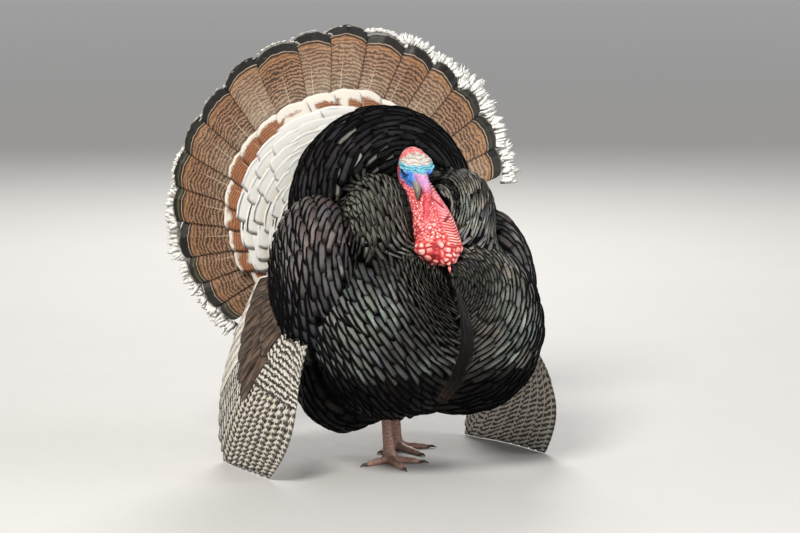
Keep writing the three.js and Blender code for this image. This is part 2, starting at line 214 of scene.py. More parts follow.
def trunk_distance(p):
    """The body with both shoulders, as far as the feather tips."""
    shoulders = [ellipsoid_distance(p, form) for form in shoulder_lobes.values()]
    return np.minimum(body_distance(p), np.minimum(*shoulders))


def slope_of(field, p, step=0.4):
    here = field(p)
    steps = [field(p + step * np.eye(3)[i]) - here for i in range(3)]
    return here, np.stack(steps, -1) / step


def hug(p, field, height, rounds=2):
    """Moves points along the field's slope until they stand at the given height over the form."""
    for _ in range(rounds):
        here, slope = slope_of(field, p)
        size = np.maximum(np.einsum("...i,...i", slope, slope), 0.05)
        p = p - slope * ((here - height) / size)[..., None]
    return p


# ---------------------------------------------------------------- meshes


def linked(name, data):
    made = bpy.data.objects.new(name, data)
    bpy.context.scene.collection.objects.link(made)
    return made


def in_frame(points):
    return ((points + bird_middle) * MM).tolist()


def dressed(name, mesh):
    """A smooth piece of the model, fixed to the root."""
    mesh.polygons.foreach_set("use_smooth", np.ones(len(mesh.polygons), bool))
    piece = linked(name, mesh)
    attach(piece, "root")
    return piece


def mesh_piece(name, points, faces, material, floats=None, colours=None, maps=None):
    """A closed mesh in the frame, from points in the bird's millimetres."""
    mesh = bpy.data.meshes.new(name)
    mesh.from_pydata(in_frame(points), [], faces.tolist() if isinstance(faces, np.ndarray) else faces)
    corners = np.empty(len(mesh.loops), np.int32)
    mesh.loops.foreach_get("vertex_index", corners)
    for key, values in (maps or {}).items():
        layer = mesh.uv_layers.new(name=key)
        layer.data.foreach_set("uv", np.asarray(values, np.float32)[corners].ravel())
    for key, values in (floats or {}).items():
        mesh.attributes.new(key, "FLOAT", "POINT").data.foreach_set("value", np.asarray(values, np.float32))
    for key, values in (colours or {}).items():
        rgba = np.column_stack([values, np.ones(len(values))]).astype(np.float32)
        mesh.attributes.new(key, "FLOAT_COLOR", "POINT").data.foreach_set("color", rgba.ravel())
    mesh.materials.append(material)
    mesh.validate()
    mesh.update()
    return dressed(name, mesh)


def gathered(name, points, faces, material, floats, maps):
    """One piece from lists gathered feather by feather."""
    return mesh_piece(
        name, np.vstack(points), faces, material,
        floats={key: np.concatenate(value) for key, value in floats.items()},
        maps={key: np.vstack(value) for key, value in maps.items()},
    )


def leaf(columns, stations):
    """One closed thin leaf: across (-1 to 1), along (0 to 1), side (1 upper, 0 lower), and its quads."""
    across, along = np.meshgrid(columns, stations)
    nu, nv = len(columns), len(stations)
    upper = np.arange(nu * nv).reshape(nv, nu)
    lower = upper.copy()
    inner = (nu - 2) * (nv - 2)
    lower[1:-1, 1:-1] = nu * nv + np.arange(inner).reshape(nv - 2, nu - 2)
    u = np.concatenate([across.ravel(), across[1:-1, 1:-1].ravel()])
    v = np.concatenate([along.ravel(), along[1:-1, 1:-1].ravel()])
    side = np.concatenate([np.ones(nu * nv), np.zeros(inner)])
    rim = np.zeros((nv, nu), bool)
    rim[0], rim[-1], rim[:, 0], rim[:, -1] = True, True, True, True
    side[: nu * nv][rim.ravel()] = 0.5

    def quads(grid):
        return np.stack([grid[:-1, :-1], grid[:-1, 1:], grid[1:, 1:], grid[1:, :-1]], -1).reshape(-1, 4)

    return u, v, side, np.vstack([quads(upper), quads(lower)[:, ::-1]])


def surface(distance, low, high, cell, coarse=4):
    """Closed quads round the space where the distance is below zero."""
    low, high = np.asarray(low, float), np.asarray(high, float)
    blocks = np.ceil((high - low) / (cell * coarse)).astype(int) + 1
    wide = [low[i] + cell * coarse * (np.arange(blocks[i]) + 0.5) - cell / 2 for i in range(3)]
    rough = distance(np.stack(np.meshgrid(*wide, indexing="ij"), -1))
    for axis in range(3):
        rough = np.repeat(rough, coarse, axis)
    near = np.abs(rough) < cell * coarse * 1.6
    places = np.argwhere(near)
    values = rough
    for start in range(0, len(places), 400000):
        part = places[start : start + 400000]
        values[tuple(part.T)] = distance(low + cell * part)
    shape = np.array(values.shape) - 1
    cells, points, turned_over = [], [], []
    for axis in range(3):
        b, c = (axis + 1) % 3, (axis + 2) % 3
        first, second = [slice(None)] * 3, [slice(None)] * 3
        first[axis], second[axis] = slice(0, -1), slice(1, None)
        start, end = values[tuple(first)], values[tuple(second)]
        at = np.argwhere((start < 0) != (end < 0))
        v0, v1 = start[tuple(at.T)], end[tuple(at.T)]
        cross = at.astype(float)
        cross[:, axis] += v0 / (v0 - v1)
        four = []
        for back_b, back_c in ((0, 0), (1, 0), (1, 1), (0, 1)):
            cell_at = at.copy()
            cell_at[:, b] -= back_b
            cell_at[:, c] -= back_c
            four.append(np.ravel_multi_index(cell_at.T, shape))
        cells.append(np.stack(four, 1))
        points.append(cross)
        turned_over.append(v0 > 0)
    cells, points, turned_over = np.vstack(cells), np.vstack(points), np.concatenate(turned_over)
    _, index = np.unique(cells, return_inverse=True)
    index = index.reshape(cells.shape)
    count = np.bincount(index.ravel())
    places = np.stack([np.bincount(index.ravel(), np.repeat(points[:, i], 4)) / count for i in range(3)], 1)
    faces = np.where(turned_over[:, None], index[:, ::-1], index)
    return low + cell * places, faces


# ---------------------------------------------------------------- making materials


class Maker:
    """Adds nodes to one tree in few words."""

    def __init__(self, tree):
        self.tree = tree

    def add(self, kind, inputs=None, **settings):
        node = self.tree.nodes.new(kind)
        for key, value in settings.items():
            setattr(node, key, value)
        for key, value in (inputs or {}).items():
            named = (s for s in node.inputs if s.name == key and s.enabled)
            socket = node.inputs[key] if isinstance(key, int) else next(named)
            if isinstance(value, bpy.types.NodeSocket):
                self.tree.links.new(value, socket)
            elif value is not None:
                socket.default_value = value
        return node

    def made(self, kind, inputs=None, **settings):
        """The first live output of a new node."""
        return next(s for s in self.add(kind, inputs, **settings).outputs if s.enabled)

    def math(self, operation, a, b=None, c=None):
        return self.add("ShaderNodeMath", {0: a, 1: b, 2: c}, operation=operation).outputs[0]

    def plus(self, a, b):
        return self.math("ADD", a, b)

    def less(self, a, b):
        return self.math("SUBTRACT", a, b)

    def times(self, a, b):
        return self.math("MULTIPLY", a, b)

    def linear(self, a, slope, base):
        return self.math("MULTIPLY_ADD", a, slope, base)

    def split(self, vector):
        return self.add("ShaderNodeSeparateXYZ", {0: vector}).outputs

    def moved(self, operation, a, b):
        """Vector maths with a second vector."""
        return self.add("ShaderNodeVectorMath", {0: a, 1: b}, operation=operation).outputs[0]

    def scaled(self, vector, share):
        return self.add("ShaderNodeVectorMath", {0: vector, 3: share}, operation="SCALE").outputs[0]

    def vector(self, x, y, z):
        return self.add("ShaderNodeCombineXYZ", {0: x, 1: y, 2: z}).outputs[0]

    def fade(self, value, low, high, to_low=0.0, to_high=1.0):
        inputs = {"Value": value, "From Min": low, "From Max": high, "To Min": to_low, "To Max": to_high}
        return self.add("ShaderNodeMapRange", inputs, interpolation_type="SMOOTHSTEP").outputs[0]

    def between(self, value, low, full, fading, gone):
        """One between two places of a scale, fading out at either end."""
        return self.times(self.fade(value, low, full), self.fade(value, fading, gone, 1.0, 0.0))

    def colour(self, share, a, b, blend="MIX"):
        mixer = self.add(
            "ShaderNodeMix", {0: share, 6: rgba(a), 7: rgba(b)}, data_type="RGBA", blend_type=blend
        )
        return mixer.outputs[2]

    def shade(self, value, low, high, a, b):
        """One colour below low, another above high."""
        return self.colour(self.fade(value, low, high), a, b)

    def noise(self, vector, scale, detail=3.0, roughness=0.5):
        inputs = {"Vector": vector, "Scale": scale, "Detail": detail, "Roughness": roughness}
        return self.add("ShaderNodeTexNoise", inputs).outputs[0]

    def waver(self, vector, amount, *noise):
        """Noise that swings evenly to both sides of nought."""
        return self.times(self.less(self.noise(vector, *noise), 0.5), amount)

    def attribute(self, name, colour=False):
        return self.add("ShaderNodeAttribute", attribute_name=name).outputs["Color" if colour else "Fac"]

    def own(self):
        return self.add("ShaderNodeTexCoord").outputs["Object"]

    def group(self, tree, inputs):
        return self.add("ShaderNodeGroup", inputs, node_tree=tree)

    def bump(self, height, distance, strength=1.0):
        return self.add(
            "ShaderNodeBump", {"Height": height, "Distance": distance, "Strength": strength}
        ).outputs[0]


def rgba(value):
    return (*value, 1.0) if isinstance(value, tuple) and len(value) == 3 else value


def shared(name, inputs, outputs, build, kind="ShaderNodeTree"):
    """A node group with named inputs and outputs."""
    tree = bpy.data.node_groups.new(name, kind)
    for key, socket_kind, default in inputs:
        socket = tree.interface.new_socket(key, in_out="INPUT", socket_type=socket_kind)
        if default is not None:
            socket.default_value = default
    for key, socket_kind in outputs:
        tree.interface.new_socket(key, in_out="OUTPUT", socket_type=socket_kind)
    maker = Maker(tree)
    given = maker.add("NodeGroupInput")
    result = maker.add("NodeGroupOutput")
    for key, socket in build(maker, given.outputs).items():
        tree.links.new(socket, result.inputs[key])
    return tree


def material(name, build, **fixed):
    made = bpy.data.materials.new(name)
    made.use_nodes = True
    maker = Maker(made.node_tree)
    shader = made.node_tree.nodes["Principled BSDF"]
    for key, value in fixed.items():
        shader.inputs[key.replace("_", " ")].default_value = value
    for key, socket in build(maker).items():
        made.node_tree.links.new(socket, shader.inputs[key])
    return made


F, V = "NodeSocketFloat", "NodeSocketVector"


def build_barbs(m, given):
    """Fine barbs that sweep from the shaft to the edge, split here and there."""
    place = m.add("ShaderNodeSeparateXYZ", {0: given["Vane"]})
    across = m.math("ABSOLUTE", m.less(place.outputs[0], 0.5))
    run = m.less(m.times(place.outputs[1], given["Count"]), m.times(across, given["Sweep"]))
    wander = m.noise(m.vector(place.outputs[0], place.outputs[1], given["Seed"]), 9.0, 2.0)
    run = m.plus(run, m.times(wander, 2.2))
    ridge = m.math("SINE", m.times(run, TURN))
    split = m.fade(m.noise(m.vector(m.times(run, 0.35), across, given["Seed"]), 2.2, 1.0), 0.66, 0.72)
    return {"Height": m.less(m.times(ridge, 0.5), split), "Split": split, "Across": m.times(across, 2.0)}


barbs = shared(
    "feather barbs",
    [("Vane", V, None), ("Count", F, 60.0), ("Sweep", F, 30.0), ("Seed", F, 0.0)],
    [("Height", F), ("Split", F), ("Across", F)],
    build_barbs,
)


def build_bars(m, given):
    """Wavy dark bars across a feather, from its distance to the tip and from the shaft in millimetres."""
    place = m.vector(given["Side"], given["Tip"], m.times(given["Seed"], 300.0))
    wave = m.waver(place, given["Waver"], 0.045, 3.0, 0.6)
    fine = m.waver(place, given["Ragged"], 0.32, 2.0, 0.6)
    slant = m.linear(given["Side"], given["Slant"], m.times(m.math("ABSOLUTE", given["Side"]), 0.18))
    run = m.plus(m.plus(given["Tip"], slant), m.plus(wave, fine))
    ridge = m.math("SINE", m.times(m.math("DIVIDE", run, given["Pitch"]), TURN))
    specks = m.fade(m.noise(place, 0.55, 3.0, 0.75), 0.55, 0.62)
    return {"Bar": m.fade(ridge, -0.38, 0.18), "Specks": specks, "Run": run}


bars = shared(
    "wavy bars",
    [
        ("Side", F, 0.0), ("Tip", F, 0.0), ("Seed", F, 0.0), ("Pitch", F, 10.0), ("Waver", F, 9.0),
        ("Ragged", F, 3.0), ("Slant", F, 0.0),
    ],
    [("Bar", F), ("Specks", F), ("Run", F)],
    build_bars,
)

# ---------------------------------------------------------------- feather finishes


def body_feather(m):
    vane = m.add("ShaderNodeUVMap", uv_map="Vane").outputs[0]
    seed, edge, tint = m.attribute("seed"), m.attribute("edge"), m.attribute("tint", True)
    along = m.split(vane)[1]
    lines = m.group(barbs, {"Vane": vane, "Count": 44.0, "Sweep": 24.0, "Seed": m.times(seed, 40.0)}).outputs
    to_tip = m.less(1.0, along)
    wander = m.waver(vane, 0.07, 7.0)
    band = m.fade(m.plus(to_tip, wander), m.times(edge, 0.7), m.times(edge, 1.15), 1.0, 0.0)
    # painted shadow: each feather is darkened towards its root, where the row above lies over it
    overlap_shadow = m.fade(to_tip, 0.27, 0.42)
    rim = m.times(m.fade(lines["Across"], 0.86, 1.0, 0.0, 0.8), m.fade(edge, 0.105, 0.135))
    dark = m.math("MAXIMUM", m.math("MAXIMUM", band, overlap_shadow), rim)
    shift = m.noise(m.own(), 13.0, 2.0)
    hue = m.shade(shift, 0.38, 0.62, (0.94, 1.05, 0.98), (1.12, 1.0, 0.92))
    gloss = m.colour(m.fade(m.noise(m.own(), 24.0, 2.0), 0.55, 0.7), hue, (0.98, 0.94, 1.12))
    streaked = m.shade(lines["Height"], -0.5, 0.5, (0.72, 0.72, 0.72), (1.2, 1.2, 1.2))
    ground = m.colour(1.0, m.colour(1.0, tint, gloss, "MULTIPLY"), streaked, "MULTIPLY")
    # random lighter and darker patches, times a painted highlight that is brightest down the middle of each
    # feather and half as bright at its sides
    patch = m.times(
        m.fade(m.noise(m.own(), 8.5, 2.0), 0.36, 0.64, 0.4, 1.25),
        m.fade(lines["Across"], 0.15, 1.0, 1.0, 0.5),
    )
    ground = m.scaled(ground, patch)
    colour = m.colour(dark, ground, (0.003, 0.0027, 0.003))
    rough = m.plus(m.times(lines["Height"], 0.08), m.plus(0.36, m.times(dark, 0.2)))
    light = m.split(tint)[1]
    return {
        "Base Color": colour,
        "Metallic": m.times(m.less(1.0, dark), 0.35),
        "Specular IOR Level": m.times(m.fade(dark, 0.0, 1.0, 0.5, 0.05), m.fade(light, 0.01, 0.09, 0.2, 1.0)),
        "Roughness": rough,
        "Normal": m.bump(lines["Height"], 0.0004, 0.7),
    }


def strip_inputs(m):
    return m.attribute("side"), m.attribute("tip"), m.attribute("seed"), m.attribute("length")


def strip_place(m, side, tip, seed):
    return m.vector(side, tip, m.times(seed, 200.0))


def wavy(m, side, tip, seed, **values):
    return m.group(bars, {"Side": side, "Tip": tip, "Seed": seed, **values}).outputs


def shaft_of(m, side, tip, width):
    """One along the quill, wider towards the root."""
    wide = m.plus(width, m.times(tip, 0.0042))
    return m.fade(m.math("DIVIDE", m.math("ABSOLUTE", side), wide), 0.7, 1.2, 1.0, 0.0)


def strip_barbs(m, side, tip, seed):
    vane = m.vector(m.linear(side, 0.012, 0.5), m.times(tip, 0.004), 0.0)
    given = {"Vane": vane, "Count": 260.0, "Sweep": 150.0, "Seed": m.times(seed, 30.0)}
    return m.group(barbs, given).outputs


def tail_feather(m):
    side, tip, seed, _ = strip_inputs(m)
    wave = wavy(m, side, tip, seed, Pitch=7.0, Waver=17.0, Ragged=8.5)
    place = strip_place(m, side, tip, seed)
    rootward = m.fade(tip, 40.0, 190.0)
    sun = m.fade(
        m.plus(m.noise(m.vector(seed, 0.0, 0.0), 30.0), m.times(m.noise(place, 0.015), 0.5)), 0.6, 0.95
    )
    low = m.fade(m.split(m.own())[2], 0.34, 0.50, 1.0, 0.0)
    faded = m.times(sun, m.less(1.0, m.times(low, 0.75)))
    tan = m.colour(m.noise(place, 0.02, 2.0), (0.34, 0.16, 0.075), (0.50, 0.28, 0.15))
    brown = m.colour(faded, tan, (0.58, 0.41, 0.27))
    pale = m.colour(m.times(rootward, m.less(0.95, m.times(low, 0.5))), brown, (0.64, 0.54, 0.42))
    strength = m.times(m.fade(rootward, 0.0, 1.0, 0.92, 0.66), m.less(1.0, m.times(faded, 0.45)))
    barred = m.colour(m.times(wave["Bar"], strength), pale, (0.040, 0.020, 0.012))
    speckled = m.colour(m.times(wave["Specks"], 0.6), barred, (0.09, 0.048, 0.028))
    run = m.plus(tip, m.waver(place, 5.0, 0.06, 3.0))
    orange = m.between(run, 20.0, 22.0, 25.0, 33.0)
    warm = m.colour(m.times(orange, 0.35), speckled, (0.52, 0.24, 0.09))
    lined = m.colour(m.between(run, 17.4, 18.2, 20.5, 22.0), warm, (0.03, 0.016, 0.01))
    edge_line = m.times(m.between(run, 15.6, 16.6, 17.4, 18.2), 0.6)
    cream = m.colour(edge_line, lined, (0.62, 0.48, 0.33))
    band = m.between(run, 0.2, 1.0, 15.6, 16.6)
    banded = m.colour(band, cream, (0.008, 0.0075, 0.006))
    inner = m.between(run, 7.0, 9.0, 11.5, 13.0)
    chosen = m.times(inner, m.fade(m.noise(m.vector(seed, 0.0, 0.0), 9.0), 0.50, 0.58))
    split = m.colour(chosen, banded, (0.13, 0.125, 0.055))
    tipped = m.shade(run, 0.2, 1.0, (0.42, 0.33, 0.22), split)
    white = m.colour(m.attribute("length"), tipped, (0.92, 0.90, 0.85))
    shaft = shaft_of(m, side, tip, 0.25)
    colour = m.colour(m.times(shaft, m.fade(tip, 30.0, 90.0, 0.0, 0.8)), white, (0.74, 0.60, 0.44))
    lines = strip_barbs(m, side, tip, seed)
    return {
        "Base Color": colour,
        "Roughness": m.less(0.58, m.times(band, 0.2)),
        "Metallic": m.times(chosen, 0.4),
        "Normal": m.bump(lines["Height"], 0.0005, 0.6),
    }


def pale_covert(m):
    side, tip, seed, row = strip_inputs(m)
    place = strip_place(m, side, tip, seed)
    run = m.plus(tip, m.waver(place, 3.0, 0.09, 3.0))
    patches = m.noise(m.own(), 13.0, 2.0, 0.6)
    chestnut = m.fade(row, 0.4, 0.6)
    wave = wavy(m, side, tip, seed, Pitch=4.8, Waver=8.0, Ragged=4.0)
    cream = m.colour(
        m.fade(m.noise(m.vector(seed, row, 0.0), 40.0), 0.4, 0.6), (0.90, 0.87, 0.80), (0.76, 0.69, 0.55)
    )
    rust = m.colour(m.noise(place, 0.04), (0.40, 0.14, 0.055), (0.55, 0.26, 0.12))
    barred = m.colour(m.times(wave["Bar"], 0.75), rust, (0.15, 0.055, 0.03))
    broken = m.times(m.fade(patches, 0.42, 0.50), m.fade(row, 0.0, 0.2, 0.25, 1.0))
    line = m.times(m.between(run, 2.6, 3.2, 5.4, 7.0), broken)
    bright = m.shade(tip, 6.0, 24.0, (0.94, 0.93, 0.89), cream)
    lined = m.colour(line, bright, (0.014, 0.011, 0.009))
    own_edge = m.fade(m.noise(m.vector(seed, 0.3, 0.0), 37.0), 0.4, 0.6, 7.0, -5.0)
    ragged = m.plus(m.plus(tip, own_edge), m.waver(place, 14.0, 0.16, 4.0, 0.7))
    plain = m.times(m.fade(ragged, 9.0, 15.0), m.fade(patches, 0.38, 0.44))
    faded = m.shade(tip, 34.0, 50.0, barred, cream)
    outer = m.colour(plain, (0.90, 0.84, 0.74), faded)
    colour = m.colour(chestnut, lined, outer)
    lines = strip_barbs(m, side, tip, seed)
    shaft = m.times(shaft_of(m, side, tip, 0.35), m.fade(tip, 10.0, 22.0))
    return {
        "Base Color": m.colour(m.times(shaft, 0.6), colour, (0.74, 0.66, 0.52)),
        "Roughness": m.linear(lines["Height"], 0.06, 0.6),
        "Normal": m.bump(lines["Height"], 0.0004, 0.6),
    }


def barred_feather(m):
    """White and black-brown bars with a pale quill, for the primaries."""
    side, tip, seed, _ = strip_inputs(m)
    place = strip_place(m, side, tip, seed)
    wave = wavy(m, side, tip, seed, Pitch=11.0, Waver=13.0, Ragged=6.0, Slant=-0.25)
    leading = m.fade(side, 7.0, 10.0)
    white = m.colour(m.noise(place, 0.05), (0.86, 0.82, 0.74), (0.68, 0.61, 0.51))
    dull = m.colour(leading, white, (0.30, 0.28, 0.26))
    dark = m.colour(m.noise(place, 0.06), (0.020, 0.015, 0.012), (0.05, 0.038, 0.03))
    barred = m.colour(m.times(wave["Bar"], 0.97), dull, dark)
    ticked = m.colour(m.times(wave["Specks"], 0.35), barred, dark)
    shaft = m.times(shaft_of(m, side, tip, 1.1), m.fade(tip, 160.0, 210.0, 1.0, 0.0))
    lines = strip_barbs(m, side, tip, seed)
    return {
        "Base Color": m.colour(shaft, ticked, (0.80, 0.70, 0.52)),
        "Roughness": m.linear(lines["Height"], 0.06, 0.5),
        "Normal": m.bump(lines["Height"], 0.0004, 0.6),
    }


def brown_feather(m):
    """Inner wing: glossy dark brown (0), mottled black and white (1) or white with dark ticks (2)."""
    side, tip, seed, kind = strip_inputs(m)
    wave = wavy(m, side, tip, seed, Pitch=11.0, Waver=18.0, Ragged=10.0, Slant=-0.1)
    place = strip_place(m, side, tip, seed)
    # painted highlight: long lighter streaks down the glossy brown feathers stand for their satin sheen
    streak = m.noise(m.vector(m.times(side, 6.0), tip, m.times(seed, 200.0)), 0.035, 3.0)
    brown = m.shade(streak, 0.38, 0.66, (0.022, 0.013, 0.009), (0.16, 0.10, 0.065))
    worn = m.colour(m.fade(m.noise(place, 0.12, 3.0, 0.7), 0.62, 0.7), brown, (0.17, 0.11, 0.07))
    edged = m.colour(m.fade(tip, 1.5, 7.0, 0.9, 0.0), worn, (0.010, 0.007, 0.006))
    pale = m.colour(m.noise(place, 0.05), (0.90, 0.87, 0.80), (0.74, 0.67, 0.56))
    mottled = m.colour(m.times(wave["Bar"], 0.97), pale, (0.014, 0.010, 0.009))
    sparse = m.times(wave["Bar"], m.fade(m.noise(place, 0.10, 3.0, 0.7), 0.57, 0.64))
    ticked = m.colour(m.times(sparse, 0.9), pale, (0.05, 0.036, 0.028))
    colour = m.shade(kind, 0.4, 0.6, edged, mottled)
    colour = m.shade(kind, 1.4, 1.6, colour, ticked)
    shaft = shaft_of(m, side, tip, 0.35)
    lines = strip_barbs(m, side, tip, seed)
    return {
        "Base Color": m.colour(m.times(shaft, 0.7), colour, (0.20, 0.14, 0.09)),
        "Roughness": m.linear(lines["Height"], 0.07, m.fade(kind, 0.0, 0.8, 0.34, 0.5)),
        "Normal": m.bump(lines["Height"], 0.0004, 0.6),
    }


finish = {
    "body": material("bronze and black body feathers", body_feather),
    "tail": material("barred chestnut tail feathers", tail_feather),
    "pale": material("white and rust tail coverts", pale_covert),
    "barred": material("barred primaries", barred_feather),
    "brown": material("brown secondaries", brown_feather),
}

# ---------------------------------------------------------------- the coat


def nearest_form(p):
    """The number of the form a point lies nearest to; in front the ruff reaches further out."""
    away = np.stack([ellipsoid_distance(p, form) for form in body_forms], -1)
    away[..., first_ruff:] -= ruff_reach * smooth(10, -30, p[..., 1])[..., None]
    return np.argmin(away, -1)


def where_out(field, centre, directions, reach=430.0):
    """Where rays from a centre leave a form."""
    near, far = np.zeros(len(directions)), np.full(len(directions), reach)
    for _ in range(20):
        middle = (near + far) / 2
        out = field(centre + directions * middle[:, None]) > 0
        far, near = np.where(out, middle, far), np.where(out, near, middle)
    return centre + directions * far[:, None]


def rings(field, centre, pole, first, last, step, width, keep):
    """Feather roots in rings round a pole, and which way each lies: away from the pole."""
    pole = unit(np.asarray(pole, float))
    east = unit(np.cross(pole, [0.13, 0.21, 0.97]))
    north = np.cross(pole, east)
    found = {key: [] for key in ("root", "flow", "angle", "turn", "width", "step")}
    angle, row = np.radians(first), 0
    centre = np.asarray(centre, float)

    def ring(a, turn):
        direction = np.cos(a) * pole + np.sin(a) * (
            np.cos(turn)[:, None] * east + np.sin(turn)[:, None] * north
        )
        return where_out(field, centre, direction)

    while angle < np.radians(last):
        degrees = np.degrees(angle)
        turn = np.linspace(0, 2 * np.pi, 121)
        loop = ring(angle, turn)
        arc = np.concatenate([[0], np.cumsum(np.linalg.norm(np.diff(loop, axis=0), axis=1))])
        count = max(3, int(arc[-1] / (width(degrees) * 0.72)))
        stations = (np.arange(count) + 0.5 * (row % 2) + random.uniform(-0.13, 0.13, count)) * arc[-1] / count
        turns = np.interp(stations % arc[-1], arc, turn)
        jitter = random.uniform(-0.08, 0.08, count) * step(degrees)
        root = ring(angle, turns)
        ahead = ring(angle + look_ahead, turns)
        kept = keep(root)
        root += unit(ahead - root) * jitter[:, None]
        strides = np.linalg.norm(ahead[kept] - root[kept], axis=1)
        reach = np.percentile(strides, 72) / look_ahead if kept.any() else 120.0
        found["root"].append(root[kept])
        found["flow"].append(unit(ahead - root)[kept])
        found["angle"].append(np.full(kept.sum(), degrees))
        found["turn"].append(turns[kept])
        found["width"].append(np.full(kept.sum(), width(degrees)))
        found["step"].append(np.full(kept.sum(), step(degrees)))
        angle += step(degrees) / max(reach, 40.0)
        row += 1
    return {key: np.concatenate(value) for key, value in found.items()}


broad_leaf = (leaf([-1, -0.55, 0, 0.55, 1], [0, 0.35, 0.62, 0.84, 0.95, 1]), [0.5, 0.9, 1, 1, 0.93, 0.7])
fine_leaf = (leaf([-1, 0, 1], [0, 0.5, 0.88, 1]), [0.6, 1, 0.95, 0.6])


def vanes(spots, field, shape, overlap, depth, lift, curl, tint, edge, soft=0.0, camber=0.035, area=(0, 1)):
    """Vanes laid over a form, as arrays of points, faces, maps and marks."""
    (u, v, side, quads), widths = shape
    stations = np.unique(v)
    half = np.interp(v, stations, widths)
    count, size = len(spots["root"]), len(u)
    length = spots["step"] * overlap * random.uniform(0.955, 1.045, count)
    width = spots["width"] * random.uniform(0.88, 1.12, count)
    _, normal = slope_of(field, spots["root"])
    normal = unit(normal)
    flow = spots["flow"] + np.cross(normal, spots["flow"]) * np.tan(
        random.normal(0, 0.07 + soft, count)
    )[:, None]
    flow = unit(flow - normal * np.einsum("ij,ij->i", flow, normal)[:, None])
    across = np.cross(normal, flow)
    ragged = random.uniform(-1, 1, (count, size)) * np.where(v > 0.9, 0.045, 0.0)
    reach = (v + ragged - 0.35) * length[:, None]
    spread = u * half * width[:, None] / 2
    points = spots["root"][:, None] + flow[:, None] * reach[..., None] + across[:, None] * spread[..., None]
    lifts = np.asarray(lift) * random.uniform(0.7, 1.3, count)
    height = mix(-np.asarray(depth) * np.ones(count)[:, None], lifts[:, None], v**0.9)
    height = height + curl * np.maximum(v - 0.6, 0) ** 2 * random.uniform(0.2, 1.8, count)[:, None]
    height = height - camber * width[:, None] * u**2 + 0.012 * width[:, None] * u * (0.5 + v)
    height = height - 0.45 * (1 - side)
    points = hug(points, field, height)
    faces = (quads[None] + (np.arange(count) * size)[:, None, None]).reshape(-1, 4)
    tints = np.repeat(tint, size, axis=0)
    vane = np.column_stack([np.tile((u + 1) / 2, count), np.tile(v, count)])
    patch = np.column_stack(
        [np.repeat(mix(*area, spots["turn"] / TURN), size), np.repeat(spots["angle"] / 180, size)]
    )
    patch = patch * 0.985 + 0.006
    return {
        "points": points.reshape(-1, 3),
        "faces": faces,
        "Vane": vane,
        "OFBake": patch + bake_patch * (vane - 0.5),
        "tint": tints,
        "edge": np.repeat(edge * np.ones(count), size),
        "seed": np.repeat(random.uniform(0, 1, count), size),
    }


def coat_piece(name, parts):
    start, faces = 0, []
    for part in parts:
        faces.append(part["faces"] + start)
        start += len(part["points"])
    joined = {key: np.concatenate([part[key] for part in parts]) for key in parts[0] if key != "faces"}
    joined["OFBake"][:, 0] = np.clip(joined["OFBake"][:, 0], 0.001, 0.999)
    return mesh_piece(
        name, joined["points"], np.vstack(faces), finish["body"],
        floats={key: joined[key] for key in ("edge", "seed")},
        colours={"tint": joined["tint"]},
        maps={"Vane": joined["Vane"], "OFBake": joined["OFBake"]},
    )


def varied(colour, count, spread=0.12):
    """One colour a feather, each a little lighter or darker."""
    light = np.exp(random.normal(0, spread, count))[:, None]
    hue = 1 + random.normal(0, 0.02, (count, 3))
    return np.clip(np.asarray(colour) * light * hue, 0.002, 0.9)


def neck_distance(p):
    """Distance to the bare neck, which narrows upwards."""
    t = np.linspace(0, 1, 41)
    line = spline(neck_line, t)
    start, chord = line[0], line[-1] - line[0]
    share = np.clip((p - start) @ chord / (chord @ chord), 0, 1)
    centre = np.stack([np.interp(share, t, line[:, i]) for i in range(3)], -1)
    ahead = unit(chord)
    side = unit(np.array([1.0, 0, 0]) - ahead * ahead[0])
    out = np.cross(side, ahead)
    wide, deep = knots(neck_half_widths, share), knots(neck_half_depths, share)
    away = p - centre
    local = np.stack([away @ side, away @ out, away @ ahead], -1)
    radii = np.stack([wide, deep, deep], -1)
    q = local / radii
    k = np.linalg.norm(q, axis=-1)
    return k * (k - 1) / np.maximum(np.linalg.norm(q / radii, axis=-1), 1e-9)


def outside(p):
    """True where a body feather would be seen: not deep in a shoulder or the neck."""
    free = neck_distance(p) > 2
    for form in shoulder_lobes.values():
        free &= ellipsoid_distance(p, form) > -10
    return free


def form_is(*names):
    wanted = [form_names.index(name) for name in names]
    return lambda p: np.isin(nearest_form(p), wanted) & outside(p)


halves = {"right": (0, 0.49), "left": (0.51, 1)}


def grade(low, high, at_low, at_high):
    return lambda degrees: float(mix(at_low, at_high, smooth(low, high, degrees)))


def ruff_part(side):
    out = side_sign[side]
    pole = (-out * 0.93, -0.2, 0.3)
    step, width = grade(20, 90, 4.8, 7.4), grade(20, 90, 30.0, 60.0)
    spots = rings(
        body_distance, ruff_lobes[side][0], pole, first=3, last=150, step=step, width=width,
        keep=form_is(f"{side}_ruff"),
    )
    count = len(spots["root"])
    low = smooth(402, 382, spots["root"][:, 2])[:, None]
    near_neck = smooth(40, 5, neck_distance(spots["root"]))[:, None]
    bright = mix(np.array([0.19, 0.19, 0.17]), np.array([0.30, 0.30, 0.28]), near_neck)
    colour = varied(mix(bright, np.array([0.035, 0.035, 0.033]), low), count)
    return vanes(
        spots, body_distance, fine_leaf, overlap=3.0, depth=2.6, lift=1.4, curl=0.0, tint=colour, edge=0.085,
        camber=0.006, area=halves[side],
    )


